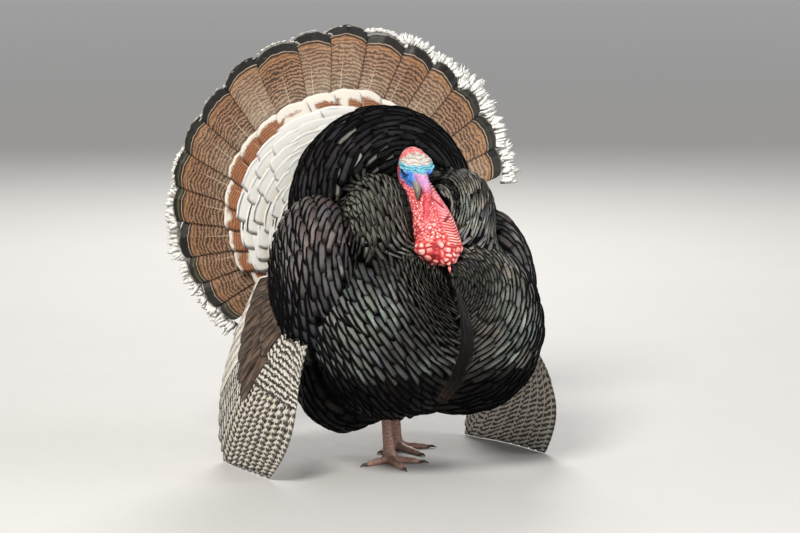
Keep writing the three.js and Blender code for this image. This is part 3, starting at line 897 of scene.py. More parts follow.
def breast_part(side):
    out = side_sign[side]
    pole = (-out * 0.672, -0.473, 0.57)
    step, width = grade(28, 70, 5.0, 11.5), grade(24, 64, 24.0, 58.0)
    spots = rings(
        body_distance, breast_lobes[side][0], pole, first=3, last=150, step=step, width=width,
        keep=form_is(f"{side}_breast"),
    )
    count, angle = len(spots["root"]), spots["angle"]
    near = np.array([0.14, 0.13, 0.115])
    far = np.array([0.17, 0.18, 0.17])
    colour = mix(near, far, smooth(35, 65, angle)[:, None])
    dim = smooth(222, 182, spots["root"][:, 2])[:, None]
    colour = varied(mix(colour, np.array([0.014, 0.013, 0.013]), dim), count, 0.18)
    parts = []
    for kept, shape in ((angle < 45, fine_leaf), (angle >= 45, broad_leaf)):
        some = {key: value[kept] for key, value in spots.items()}
        big = smooth(35, 85, some["angle"])
        sink, rise = mix(3.4, 13.0, big)[:, None], mix(1.0, 3.6, big)
        edge = mix(0.11, 0.14, big)
        parts.append(vanes(
            some, body_distance, shape, overlap=2.7, depth=sink, lift=rise, curl=12.0,
            tint=colour[kept], edge=edge, area=halves[side],
        ))
    return parts


def mantle_part():
    keep, step = form_is("mantle"), grade(0, 90, 8.8, 12.0)
    spots = rings(
        body_distance, mantle_arch[0], (0, -1, 0.25), first=3, last=150, step=step,
        width=lambda degrees: 66.0, keep=keep,
    )
    colour = varied((0.022, 0.022, 0.025), len(spots["root"]), 0.3)
    # painted highlights: on the right edge of the mantle a fifth of the feathers are pale, with a wider black
    # tip, for light caught on the feather edges
    rim = spots["root"][:, 0] < -20
    pale = rim & (random.uniform(0, 1, len(rim)) < 0.2)
    colour[pale] = (0.26, 0.25, 0.24)
    edge = np.where(pale, 0.24, 0.11)
    return vanes(
        spots, body_distance, broad_leaf, overlap=3.0, depth=11.0, lift=4.2, curl=5.0, tint=colour, edge=edge,
        camber=0.012,
    )


def trunk_part():
    keep = form_is("barrel", "rump", "right_thigh", "left_thigh")
    step, width = grade(40, 120, 13.0, 20.0), grade(40, 120, 46.0, 54.0)
    spots = rings(
        body_distance, body_centre, (0, -0.9, 0.42), first=3, last=172, step=step, width=width, keep=keep
    )
    top = smooth(230, 320, spots["root"][:, 2])[:, None]
    colour = mix(np.array([0.012, 0.011, 0.011]), np.array([0.06, 0.048, 0.036]), top)
    colour = varied(colour, len(spots["root"]), 0.2)
    return vanes(
        spots, body_distance, broad_leaf, overlap=2.6, depth=11.0, lift=1.5, curl=8.0, tint=colour, edge=0.14,
        soft=0.05,
    )


def shoulder_part(side):
    form = shoulder_lobes[side]
    out = side_sign[side]
    field = lambda p: ellipsoid_distance(p, form)
    keep = lambda p: body_distance(p) > -8
    pole = (-out * 0.55, -0.8, 0.25)
    step, width = grade(10, 60, 8.5, 13.0), grade(10, 60, 36.0, 60.0)
    spots = rings(field, form[0], pole, first=4, last=165, step=step, width=width, keep=keep)
    count = len(spots["root"])
    height = spots["root"][:, 2] - form[0][2]
    up = smooth(-70, 90, height)[:, None]
    colour = mix(np.array([0.040, 0.040, 0.054]), np.array([0.135, 0.115, 0.118]), up)
    pale = (random.uniform(0, 1, count) < 0.015 + 0.03 * up[:, 0])[:, None]
    colour = np.where(pale, np.array([0.24, 0.19, 0.15]), colour)
    edge = mix(0.16, 0.115, up[:, 0])
    return vanes(
        spots, field, broad_leaf, overlap=2.8, depth=10.0, lift=2.6, curl=9.0,
        tint=varied(colour, count, 0.2), edge=edge, camber=0.022,
    )


coat_piece("ruff_feathers", [ruff_part("right"), ruff_part("left")])
coat_piece("breast_feathers", breast_part("right") + breast_part("left"))
coat_piece("mantle_feathers", [mantle_part()])
coat_piece("trunk_feathers", [trunk_part()])
for side in sides:
    coat_piece(f"shoulder_feathers_{side}", [shoulder_part(side)])

# ---------------------------------------------------------------- big feathers, each a strip of its own


def strips(name, feathers, place, shape, material_key):
    """Long feathers. place(feather, u, v) gives points and normals; each has its own cell of the bake map."""
    u, v, side, quads = shape
    size, count = len(u), len(feathers)
    cells = int(np.ceil(np.sqrt(count * 3)))
    rows = int(np.ceil(count / cells))
    points, maps = [], {"Vane": [], "OFBake": []}
    floats = {key: [] for key in ("side", "tip", "seed", "length")}
    for i, feather in enumerate(feathers):
        made = place(feather, u, v)
        points.append(made["points"] + made["normal"] * ((side - 0.5) * made["thick"])[:, None])
        marked = {
            "side": made["side"], "tip": made["tip"], "seed": feather["seed"],
            "length": feather.get("mark", 0.0),
        }
        for key, value in marked.items():
            floats[key].append(value * np.ones(size))
        maps["Vane"].append(np.column_stack([(u + 1) / 2, v]))
        corner = np.array([i % cells / cells, i // cells / rows])
        inside = np.column_stack([0.06 + 0.88 * (u + 1) / 2, 0.03 + 0.94 * v])
        maps["OFBake"].append(corner + inside / np.array([cells, rows]))
    faces = (quads[None] + (np.arange(count) * size)[:, None, None]).reshape(-1, 4)
    return gathered(name, points, faces, finish[material_key], floats, maps)


# ---------------------------------------------------------------- tail


def ring_length(ring, share):
    return mix(ring["middle"], ring["outer"], share**2) + ring["skew"] * share


def in_fan(angle, radius, forward):
    """A point of the fan: angle from the middle feather, distance from the hub, and how far forward."""
    a = np.radians(angle)
    local = np.stack([radius * np.sin(a), -forward, radius * np.cos(a)], -1)
    return local @ fan_turn.T + fan_hub


fan_forward = fan_turn @ np.array([0.0, -1.0, 0.0])
quill = [-0.04, 0, 0.04]
half_columns = [0.1, 0.24, 0.42, 0.58, 0.72, 0.84, 0.93, 1]
wide_columns = sorted([-x for x in half_columns] + half_columns + quill)
tail_leaf = leaf(wide_columns, np.concatenate([np.linspace(0, 0.9, 26), [0.93, 0.955, 0.975, 0.99, 1.0]]))


def fringe_of(u, count, seed, deep):
    """How far each column of a tip is frayed, in millimetres."""
    draw = np.random.default_rng(int(seed * 1e6))
    fray = draw.uniform(-1, 0.6, count)
    return np.interp((u + 1) / 2 * (count - 1), np.arange(count), fray) * deep


def tip_round(u):
    """How a tail feather's end falls away from its middle, as a share of its length."""
    return 1 - 0.034 * np.abs(u) ** 2.2


def vane_half(radius):
    return 4.0 + 0.112 * radius


def dish(radius):
    return fan_cup * (radius / fan_middle) ** 2


def fluffy(feather):
    """Most fluff hangs from the two lower sides of the fan, hardly any at its top."""
    share = abs(feather["angle"]) / rectrices["half_spread"]
    return float(0.12 + 0.95 * smooth(0.25, 0.6, share))


def rectrix(feather, u, v):
    share = feather["angle"] / rectrices["half_spread"]
    length = ring_length(rectrices, share) * feather["long"] - fluff_depth * fluffy(feather)
    tip_curve = length * tip_round(u)
    edge = fringe_of(u, 19, feather["seed"], 1.6) * v**8
    radius = mix(36.0, tip_curve, v) + edge
    half = vane_half(radius) * np.interp(v, [0, 0.5, 0.9, 0.97, 1.0], [1, 1, 1, 0.97, 0.9])
    side = u * half
    angle = feather["angle"] + feather["turn"] * v**3 + np.degrees(side / np.maximum(radius, 20))
    outer = np.sign(feather["angle"])
    stack = 1.5 * u * outer * smooth(0, 0.4, v) + feather["lift"] * v
    ripple = 0.5 * np.sin(side * 0.35 + feather["seed"] * 20) * v**4
    ridge = np.where(np.abs(u) < 0.05, 0.5, 0.0) * (1 - 0.6 * v)
    forward = dish(radius) + stack + ripple + ridge
    return {
        "points": in_fan(angle, radius, forward),
        "normal": np.broadcast_to(fan_forward, (len(u), 3)),
        "thick": 0.5 + np.where(np.abs(u) < 0.05, 0.9, 0.0) * (1 - 0.7 * v),
        "side": side,
        "tip": tip_curve - radius + edge,
    }


def spread(ring):
    pitch = 2 * ring["half_spread"] / ring["count"]
    for i in range(ring["count"]):
        angle = (i + 0.5) * pitch - ring["half_spread"]
        yield {
            "angle": angle + random.uniform(-0.6, 0.6),
            "long": 1 + random.uniform(-0.02, 0.004),
            "seed": random.uniform(0, 1),
            "turn": random.uniform(-1.2, 1.2),
            "lift": 0.7 if abs(angle) < pitch and angle > 0 else 0.0,
        }


strips("tail_feathers", list(spread(rectrices)), rectrix, tail_leaf, "tail")


def barb_tufts(name, feathers, start, long, count):
    """White fluff along the tips: thin pointed tufts that fan out from each feather's end."""
    u, v, side, quads = leaf([-1, 0, 1], [0, 0.4, 0.75, 1])
    half = np.interp(v, [0, 0.4, 0.75, 1], [0.7, 1.0, 0.85, 0.15])
    points, faces, maps = [], [], {"OFBake": [], "Vane": []}
    floats = {key: [] for key in ("tip", "side", "seed", "length")}
    total = 0
    for feather in feathers:
        length = ring_length(
            rectrices, feather["angle"] / rectrices["half_spread"]
        ) - fluff_depth * fluffy(feather)
        for k in range(count):
            across = ((k + random.uniform(0.1, 0.9)) / count * 2 - 1) * 1.1
            root = length * tip_round(across) - start
            reach = long * feather["fluff"] * random.uniform(0.6, 1.1)
            if feather["fluff"] < random.uniform(0, 0.3):
                continue
            radius = root + v * reach
            wide = half * random.uniform(2.2, 6.0)
            lean = across * 0.35 + random.normal(0, 0.3)
            sideways = across * vane_half(root) + lean * v * reach + u * wide
            angle = feather["angle"] + np.degrees(sideways / radius)
            forward = dish(radius) + 1.5 * across * np.sign(feather["angle"])
            forward = forward - random.uniform(0.6, 2.4) + v * random.uniform(-2, 3) - 0.4 * (1 - side)
            points.append(in_fan(angle, radius, forward))
            faces.append(quads + total)
            total += len(u)
            spot = np.array([0.5 + feather["angle"] / 220 + across * 0.02, 0.3 + 0.4 * random.uniform(0, 1)])
            vane = np.column_stack([(u + 1) / 2, v])
            maps["OFBake"].append(spot + bake_patch * (vane - 0.5))
            maps["Vane"].append(vane)
            marked = {"tip": 5.0 - 4.0 * v, "side": 6 + u, "seed": random.uniform(0, 1), "length": 1.0}
            for key, value in marked.items():
                floats[key].append(value * np.ones(len(u)))
    return gathered(name, points, np.vstack(faces), finish["tail"], floats, maps)


tip_spots = [
    dict(feather, fluff=fluffy(feather) * random.uniform(0.65, 1.2)) for feather in spread(rectrices)
]
barb_tufts("tail_tip_fluff", tip_spots, start=6.0, long=26.0, count=54)

covert_front = lambda t: np.interp(t, [0, 0.5, 1], [56, 31, 7.5])
under_back = lambda t: np.interp(t, [0, 0.5, 1], [-41, -24, -6.5])


def covert(ring, front, rise, sink):
    """Coverts shingled over a ring's face, each row with its tips nearer the hub."""

    def place(feather, u, v):
        share = np.clip(feather["angle"] / ring["half_spread"], -1, 1)
        whole = ring_length(ring, share)
        length = whole - feather["inset"]
        tip_curve = length - feather["half"] * mix(0.07, 0.2, feather["mark"]) * np.abs(u) ** 2.4
        edge = fringe_of(u, 9, feather["seed"], 1.8) * v**6
        radius = mix(length - feather["long"], tip_curve, v) + edge
        half = feather["half"] * np.interp(v, [0, 0.4, 0.8, 1.0], [0.55, 0.9, 1.0, 0.92])
        side = u * half
        angle = feather["angle"] + np.degrees(side / np.maximum(radius, 25))
        t = (radius - ring["root"]) / (whole - ring["root"])
        away = np.sign(front(0.5))
        shingle = 0.5 * u * np.sign(feather["angle"] + 0.01) - 0.6 * u * u
        forward = dish(radius) + front(t) + away * (mix(-sink, rise, v) + feather["lift"] * v + shingle)
        return {
            "points": in_fan(angle, radius, forward),
            "normal": np.broadcast_to(fan_forward * away, (len(u), 3)),
            "thick": 0.45 + np.where(np.abs(u) < 0.05, 0.4, 0.0),
            "side": side,
            "tip": np.maximum(tip_curve - radius + edge, 0),
        }

    return place


def covert_rows(ring, rows):
    """The coverts of all rows, every second row half a feather on."""
    found = []
    for k, (inset, count, half, long, mark) in enumerate(rows):
        pitch = 2 * ring["half_spread"] / count
        for i in range(count):
            angle = (i + 0.5 + 0.5 * (k % 2)) * pitch - ring["half_spread"]
            if angle > ring["half_spread"]:
                continue
            found.append({
                "angle": angle + random.uniform(-0.1, 0.1) * pitch,
                "inset": inset + random.uniform(-2, 2) - 5 * mark * random.uniform(-1, 1),
                "half": half * random.uniform(0.94, 1.06),
                "long": long,
                "lift": random.uniform(-0.15, 0.4),
                "seed": random.uniform(0, 1),
                "mark": mark if mark > 0 else 0.3 * float(smooth(15, 70, abs(angle))),
            })
    return found


covert_leaf = leaf(
    [-1, -0.8, -0.55, -0.3, -0.08, 0, 0.08, 0.3, 0.55, 0.8, 1], [0, 0.25, 0.5, 0.68, 0.82, 0.91, 0.96, 1]
)
# how far in from the ring's edge, how many, half width, length, mark
upper_rows = [
    (0, 18, 36, 95, 1.0), (30, 13, 47, 80, 0.0), (46, 13, 44, 70, 0.0), (62, 13, 41, 64, 0.0),
    (78, 12, 39, 60, 0.0), (94, 12, 34, 54, 0.0), (110, 11, 30, 50, 0.0), (124, 11, 26, 48, 0.0),
]
under_rows = [
    (0, 15, 26, 90, 1.0), (26, 14, 24, 80, 1.0), (52, 13, 22, 70, 0.0), (76, 11, 18, 60, 0.0),
    (96, 9, 16, 56, 0.0),
]
for name, ring, rows, front, sink in (
    ("tail_covert_feathers", coverts, upper_rows, covert_front, 7.0),
    ("under_tail_feathers", under_coverts, under_rows, under_back, 6.0),
):
    strips(name, covert_rows(ring, rows), covert(ring, front, 1.5, sink), covert_leaf, "pale")

# ---------------------------------------------------------------- wings


def flight(side):
    """Flight feathers hang from the arm, each outer one over the next behind it."""
    arm, tips = np.array(wing_arms[side], float), wing_tips[side]
    out = side_sign[side]

    def on_wing(around, reach, lift):
        root = mix(arm[0], arm[1], np.clip(around, -0.02, 1.02)[:, None])
        tip = spline(tips, np.clip(around, 0, 1))
        bow = np.sin(np.pi * np.minimum(reach, 1))
        swing = np.maximum(0, 1 - around * 2.4) ** 1.5
        forward = wing_saber[side] * np.sin(np.pi * np.minimum(np.maximum(reach, 0), 1) ** 1.25) * swing
        points = mix(root, tip, reach[:, None])
        points[:, 0] += out * (wing_bulge * bow + lift)
        points[:, 1] -= forward
        return points

    def place(feather, u, v):
        spread_by = mix(0.35, feather["wide"], smooth(0, 0.5, v))
        around = (feather["k"] + 0.5 + u * spread_by) / flight_count
        reach = mix(feather["from"], feather["to"], v) * (1 - feather["round"] * np.abs(u) ** 2.2 * v)
        reach = reach + fringe_of(u, 9, feather["seed"], 0.006) * v**6
        lift = feather["lift"] - u * smooth(0, 0.3, v) - feather["droop"] * v
        points = on_wing(around, reach, lift)
        ahead = on_wing(around, reach + 0.01, lift)
        beside = on_wing(around + 0.004, reach, lift)
        normal = unit(np.cross(ahead - points, beside - points))
        normal *= np.sign(normal[:, :1] * out + 1e-9)
        points[:, 2] = np.maximum(points[:, 2], 0.9)
        centre = on_wing(np.full(len(u), (feather["k"] + 0.5) / flight_count), reach, lift)
        sideways = np.linalg.norm(points - centre, axis=1) * np.sign(u)
        end = on_wing(around, np.full(len(u), feather["to"]), lift)
        return {
            "points": points,
            "normal": normal,
            "thick": 0.45 + np.where(np.abs(u) < 0.06, 1.1, 0.0) * (1 - 0.7 * v),
            "side": -sideways,
            "tip": np.linalg.norm(end - points, axis=1),
        }

    return place


def no_mark(k):
    return 0.0


def flight_set(first, last, wide, start, end, lift, droop=0.0, mark=no_mark, stride=1, round=0.04):
    """One row of wing feathers; mark says how feather k is coloured."""
    found = []
    for k in range(first, last, stride):
        found.append({
            "k": k, "round": round, "wide": wide, "mark": mark(k), "droop": droop,
            "from": start, "to": end * (1 + random.uniform(-0.012, 0.008)),
            "lift": lift + random.uniform(-0.2, 0.2), "seed": random.uniform(0, 1),
        })
    return found


flight_columns = [-1, -0.85, -0.62, -0.36, -0.12, 0.12, 0.36, 0.62, 0.85, 1]
flight_leaf = leaf(sorted(flight_columns + quill), np.linspace(0, 1, 24))
wing_covert_leaf = leaf([-1, -0.75, -0.4, -0.06, 0, 0.06, 0.4, 0.75, 1], [0, 0.3, 0.55, 0.75, 0.9, 0.97, 1])
inner_kind = lambda k: 2.0 if k > 12 else 1.0
covert_kind = lambda k: 1.0 if k < 9 else 0.0
# first and last feather, half width, start, end, lift, droop, colours, every how many, roundness
wing_covert_sets = [
    (0, 9, 0.72, 0.0, 0.44, 3.2, 1.6, covert_kind),
    (9, flight_count, 1.35, 0.0, 0.60, 3.2, 1.6, no_mark, 2, 0.09),
    (0, 9, 0.74, -0.04, 0.30, 5.0, 1.6, covert_kind),
    (10, flight_count, 1.35, -0.04, 0.34, 5.0, 1.6, no_mark, 2, 0.12),
    (0, 8, 0.74, -0.04, 0.37, 4.2, 1.6, covert_kind),
]
for side in sides:
    place = flight(side)
    outer = flight_set(0, primary_count, 0.66, 0.02, 1.0, 0.0)
    strips(f"primaries_{side}", outer, place, flight_leaf, "barred")
    inner = flight_set(primary_count, flight_count, 0.7, 0.02, 1.0, 0.0, 0.0, inner_kind)
    strips(f"secondaries_{side}", inner, place, flight_leaf, "brown")
    rows = [feather for row in wing_covert_sets for feather in flight_set(*row)]
    strips(f"wing_coverts_{side}", rows, place, wing_covert_leaf, "brown")

# ---------------------------------------------------------------- bare skin


def line_distance(p, line, radii, margin=14.0):
    """Distance to a round line of changing thickness, worked out only close to it."""
    line = np.asarray(line, float)
    result = np.full(p.shape[:-1], 60.0)
    low, high = line.min(0) - margin - max(radii), line.max(0) + margin + max(radii)
    near = np.all((p > low) & (p < high), -1)
    close = p[near]
    best = np.full(len(close), 60.0)
    for i in range(len(line) - 1):
        chord = line[i + 1] - line[i]
        share = np.clip((close - line[i]) @ chord / (chord @ chord), 0, 1)
        away = np.linalg.norm(close - line[i] - share[:, None] * chord, axis=-1)
        best = np.minimum(best, away - mix(radii[i], radii[i + 1], share))
    result[near] = best
    return result


snood_knots = np.vstack([in_head([(1, -30, 5), (4, -47, 0), (9, -58, -11), (11, -66, -23)]), snood_tip[None]])
snood_steps = np.linspace(0, 1, 26)
snood_line, snood_girth = spline(snood_knots, snood_steps), knots(snood_radii, snood_steps)
throat_beads = [((-4, -160, 408), (38, 22, 20))]
throat_beads += [
    ((x - 5, -172 + abs(x) * 0.42, 390 + abs(x) * 0.36), (12.5, 14, 15 - (i % 2) * 2))
    for i, x in enumerate(range(-32, 33, 16))
]
throat_beads += [((4, -178, 384), (16, 13, 13))]
throat_tassel = [(4, -180, 374), (5, -184, 366), (5, -185, 357)]
eye_gaze = {"right": unit(np.array([-0.80, -0.57, 0.14])), "left": unit(np.array([0.80, -0.57, 0.14]))}


def by_lid(q, side, half):
    """Points by an eye: along, across and out of its slit, away from its middle, and how the slit narrows."""
    gaze = eye_gaze[side]
    slit = unit(np.array([-0.56 * side_sign[side], -0.72, -0.44]))
    along = unit(slit - gaze * (slit @ gaze))
    across = np.cross(gaze, along)
    across = across * np.sign(across[2])
    away = q - np.array(eye_centres[side], float)
    a, b, out = away @ along, away @ across, away @ gaze
    return a, b, out, np.linalg.norm(away, axis=-1), 1 - np.minimum((a / half) ** 2, 1.6)


def almond(b, taper, upper, lower):
    return np.maximum(b - upper * taper, -b - lower * taper)


def skull_distance(q):
    return soft_all([ellipsoid_distance(q, form) for form in head_forms], 8)


def head_distance(p):
    q = from_head(p)
    d = skull_distance(q)
    cheek = np.minimum(*(ellipsoid_distance(q, ((x, 8, -10), (12, 17, 13))) for x in (-14, 14)))
    d = soft_union(d, cheek, 6)
    for side in sides:
        a, b, out, reach, taper = by_lid(q, side, 9.0)
        ball = reach - (eye_radius + 1.6)
        open_cut = np.maximum(almond(b, taper, 2.6, 4.0), -out)
        upper = np.abs(b - 2.6 * taper - 1.8) + np.abs(reach - eye_radius - 3.2) - 2.6
        lower = np.abs(b + 3.6 * taper + 0.9) + np.abs(reach - eye_radius - 1.5) - 1.3
        d = soft_union(d, ball, 3.0)
        d = soft_union(d, np.where((out > 0) & (np.abs(a) < 10), upper, 30.0), 2.0)
        d = soft_union(d, np.where((out > 0) & (np.abs(a) < 9), lower, 30.0), 1.2)
        for height, deep in ((6.2, 0.7), (-6.6, 0.5), (-8.8, 0.4)):
            fold = np.abs(b - height * (0.4 + 0.6 * taper)) + np.abs(reach - eye_radius - 2.4) * 0.3
            d = np.where(out > 0, np.maximum(d, deep - fold), d)
        d = np.maximum(d, -np.maximum(open_cut, reach - eye_radius - 7.0))
        d = np.maximum(d, eye_radius - 0.25 - reach)
    return d


def lid_rim_shade(q):
    """One on the rims of the lids, which the skin paints near black for their dark edge and for the shade in
    the eye's slit.
    """
    rim = np.zeros(q.shape[:-1])
    for side in sides:
        a, b, out, reach, taper = by_lid(q, side, 9.6)
        near = smooth(eye_radius + 6, eye_radius + 4, reach)
        rim = np.maximum(rim, smooth(1.6, 0.2, almond(b, taper, 3.2, 4.6)) * near * (out > 0))
    return rim


def throat_distance(p):
    beads = soft_all([ellipsoid_distance(p, bead) for bead in throat_beads], 3.0)
    return np.minimum(beads, line_distance(p, throat_tassel, [2.8, 2.0, 1.1]))


def front_distance(p):
    """Head, neck, snood and throat in one."""
    neck_root = ellipsoid_distance(p, ((0, -92, 392), (34, 62, 30)))
    d = soft_union(neck_distance(p), neck_root, 12)
    d = soft_union(head_distance(p), d, 9)
    d = soft_union(d, throat_distance(p), 5)
    ribs = 0.35 * np.sin(snood_steps * 60)
    return soft_union(d, line_distance(p, snood_line, snood_girth + ribs), 3.0)


def cells(points, size, seed=0):
    """For each point: distance to the nearest and second nearest of scattered spots, in cell sizes."""
    scaled = points / size
    base = np.floor(scaled).astype(np.int64)
    first = np.full(len(points), 9.0)
    second = first.copy()
    for shift in np.ndindex(3, 3, 3):
        cell = base + np.array(shift) - 1
        mixed = cell[:, 0] * 73856093 ^ cell[:, 1] * 19349663 ^ cell[:, 2] * 83492791 ^ seed * 2654435761
        spot = np.stack(
            [((mixed * m + 12345) >> 7) % 10007 / 10007.0 for m in (1103515245, 69069, 1664525)], -1
        )
        away = np.linalg.norm(scaled - cell - spot, axis=1)
        second = np.minimum(second, np.maximum(first, away))
        first = np.minimum(first, away)
    return first, second


def pebbles(points, size, seed):
    """Rounded bumps with creases between them: 0 in a crease, 1 on top."""
    first, second = cells(points, size, seed)
    return smooth(0.0, 0.55, second - first)


def skin_marks(p):
    """What each point of the skin is, from 0 to 1."""
    q = from_head(p)
    front = front_distance(p) < 4
    skull = skull_distance(q)
    on_head = smooth(6, 1, skull) * front
    for centre in eye_centres.values():
        lid = smooth(eye_radius + 9, eye_radius + 6, np.linalg.norm(q - np.array(centre), axis=-1))
        on_head = np.maximum(on_head, lid * smooth(2, -2, q[:, 1]) * front)
    on_snood = smooth(1.5, -0.2, line_distance(p, snood_line, snood_girth)) * front
    beads = smooth(3.0, 0.0, throat_distance(p)) * front
    wander = 2.2 * np.sin(q[:, 0] * 0.45 + 1.3) * np.sin(q[:, 1] * 0.4)
    wander = wander + 1.2 * np.sin(q[:, 0] * 1.1 + q[:, 1] * 0.9)
    height = q[:, 2] + 0.35 * wander
    back = q[:, 1] + wander
    white = smooth(16.0, 18.5, height) * smooth(1, -5, back) * on_head
    crown = smooth(14.0, 17.5, height) * smooth(-5, 1, back) * on_head
    brow = smooth(6.5, 9.0, height) * smooth(18.5, 16.0, height) * on_head * smooth(0, -5, back)
    lid_brow = smooth(9.0, 11.0, height) * smooth(18.5, 16.0, height) * smooth(14, 8, skull) * front
    brow = np.maximum(brow, lid_brow * smooth(-6, -10, q[:, 1]))
    on_snood = on_snood * smooth(11.0, 8.0, height)
    face = on_head * smooth(18.5, 16.0, height) * smooth(-1, -6, back) * smooth(-27, -20, q[:, 2])
    return {
        "lid": lid_rim_shade(q) * front, "crown": crown, "white": white, "brow": brow, "face": face,
        "red": front * (1 - on_head), "bead": beads, "snood": on_snood,
    }


def foot_lines(side):
    leg = legs[side]
    foot, hock = np.array(leg["foot"], float), np.array(leg["hock"], float)
    ankle = foot + (0, 2, 14)
    shank = spline([hock, mix(hock, ankle, 0.5) + (0, -3, 0), ankle], np.linspace(0, 1, 16))
    lines = []
    for name, long, turn in toes:
        angle = np.radians(leg["heading"] + turn * -side_sign[side])
        ahead = np.array([-np.sin(angle), -np.cos(angle), 0])
        stops = [(0.06, 7.4), (0.4, 5.4), (0.75, 4.4), (1, 3.2)]  # share of the toe, height of its middle
        path = [foot * (1, 1, 0) + ahead * share * long + (0, 0, z) for share, z in stops]
        lines.append((name, ahead, spline(path, np.linspace(0, 1, 18))))
    return ankle, shank, lines


shank_girth = knots([11, 8.2, 8.5, 10.5], np.linspace(0, 1, 16))
toe_steps = np.linspace(0, 1, 18)
toe_girth = knots([8.3, 7.0, 6.5, 5.8, 4.4], toe_steps)
toe_pads = {"inner": 2, "middle": 3, "outer": 3, "hind": 1}


def leg_distance(side):
    ankle, shank, lines = foot_lines(side)

    def distance(p):
        d = line_distance(p, shank, shank_girth - 0.3)
        d = soft_union(d, ellipsoid_distance(p, (ankle + (0, 0, -4), (12.5, 13.5, 13))), 5)
        for name, ahead, line in lines:
            swell = 0.75 * np.cos(toe_steps * toe_pads[name] * 2 * np.pi) * smooth(0, 0.2, toe_steps)
            d = soft_union(d, line_distance(p, line, toe_girth - 0.45 - swell), 2.5)
        return np.maximum(d, 0.4 - p[..., 2])

    return distance


def under_coat(p):
    """The flesh under the feathers."""
    shoulders = [ellipsoid_distance(p, form, -coat_depth) for form in shoulder_lobes.values()]
    d = body_distance(p) + coat_depth
    return soft_union(d, np.minimum(*shoulders), 14)


def plain_mesh(points, faces):
    mesh = bpy.data.meshes.new("skin")
    mesh.from_pydata(points.tolist(), [], faces.tolist())
    mesh.validate()
    return mesh


def settle(points, field):
    """Brings a stepped surface exactly onto its form."""
    for _ in range(2):
        here, slope = slope_of(field, points, 0.2)
        size = np.maximum(np.einsum("...i,...i", slope, slope), 0.3)
        points = points - slope * np.clip(here / size, -0.6, 0.6)[:, None]
    return points


def outward(points, faces):
    normal = np.zeros_like(points)
    corner = points[faces]
    turn = np.cross(corner[:, 2] - corner[:, 0], corner[:, 3] - corner[:, 1])
    for i in range(4):
        np.add.at(normal, faces[:, i], turn)
    return unit(normal)


furrow_paths = [
    [(18, -62, -25), (24, -67, -29), (31, -72, -33), (37, -76, -38)],
    [(45, -92, -49), (40, -99, -50), (35, -105, -51)],
]


def furrow_distance(p):
    """Distance to the deep creases that cross the throat below the snood."""
    lines = [spline(in_head(path), np.linspace(0, 1, 9)) for path in furrow_paths]
    return np.min([line_distance(p, line, np.zeros(9)) for line in lines], 0)


# the size of the beads on each part of the skin, in millimetres, and the number they are scattered by
bead_sizes = {
    "small": (4.4, 0), "medium": (6.6, 1), "large": (12.5, 2), "crown": (3.4, 5), "snood": (3.2, 8),
    "white": (4.2, 6), "face": (3.6, 9),
}
fold_middle = np.array([24.0, -136.0, 476.0])


def beads_on(p, part):
    return pebbles(p, *bead_sizes[part])


def down_throat(p):
    return smooth(480, 385, p[:, 2])


def throat_lumps(p):
    """The beads of the throat, which grow larger downwards."""
    down = down_throat(p)
    lumps = beads_on(p, "small") * smooth(0.55, 0.2, down)
    lumps = lumps + beads_on(p, "medium") * smooth(0.2, 0.5, down) * smooth(0.95, 0.6, down)
    return lumps + beads_on(p, "large") * smooth(0.6, 0.95, down)


def throat_folds(p):
    """Where the throat's left is folded, how far off the fold's middle is, and the wave of its wrinkles."""
    rounds = np.linalg.norm((p - fold_middle) * (0.8, 0.4, 1.0), axis=1)
    folded = smooth(2, 12, p[:, 0] + (480 - p[:, 2]) * 0.02) * smooth(398, 412, p[:, 2])
    return folded, rounds, np.sin(rounds * 1.35 + 1.4 * np.sin(p[:, 0] * 0.16))


def wrinkles(q, pitch, sideways, ahead):
    """Waves across the head, bent by a second and third wave of the given strength and pitch."""
    bend = sideways[0] * np.sin(q[:, 0] * sideways[1]) + ahead[0] * np.sin(q[:, 1] * ahead[1])
    return np.sin((q[:, 2] + 0.10 * q[:, 1]) * pitch + bend)


brow_wave = (1.6, (0.9, 0.35), (0.7, 0.4))


def skin_relief(p):
    """How far each point of head and throat stands out, in millimetres."""
    marks, q = skin_marks(p), from_head(p)
    throat = marks["red"] * (1 - marks["snood"])
    folded, rounds, wave = throat_folds(p)
    relief = throat * (mix(1.1, 3.4, down_throat(p)) * (throat_lumps(p) - 0.6)) * (1 - 0.75 * folded)
    relief += 1.1 * wave * folded * smooth(4, 30, rounds) * throat
    relief += marks["crown"] * (beads_on(p, "crown") - 0.6)
    relief += marks["snood"] * mix(0.55, 1.0, smooth(500, 480, p[:, 2])) * (beads_on(p, "snood") - 0.6)
    fine_lines = 0.35 * wrinkles(q, 1.9, (1.5, 0.3), (0.0, 0.0))
    relief += marks["white"] * (0.6 * (beads_on(p, "white") - 0.5) + fine_lines)
    relief += marks["brow"] * 1.1 * wrinkles(q, *brow_wave)
    relief += marks["face"] * (1 - marks["brow"]) * 0.55 * (beads_on(p, "face") - 0.6)
    return relief - 1.7 * smooth(3.2, 0.5, furrow_distance(p)) * (1 - marks["snood"])


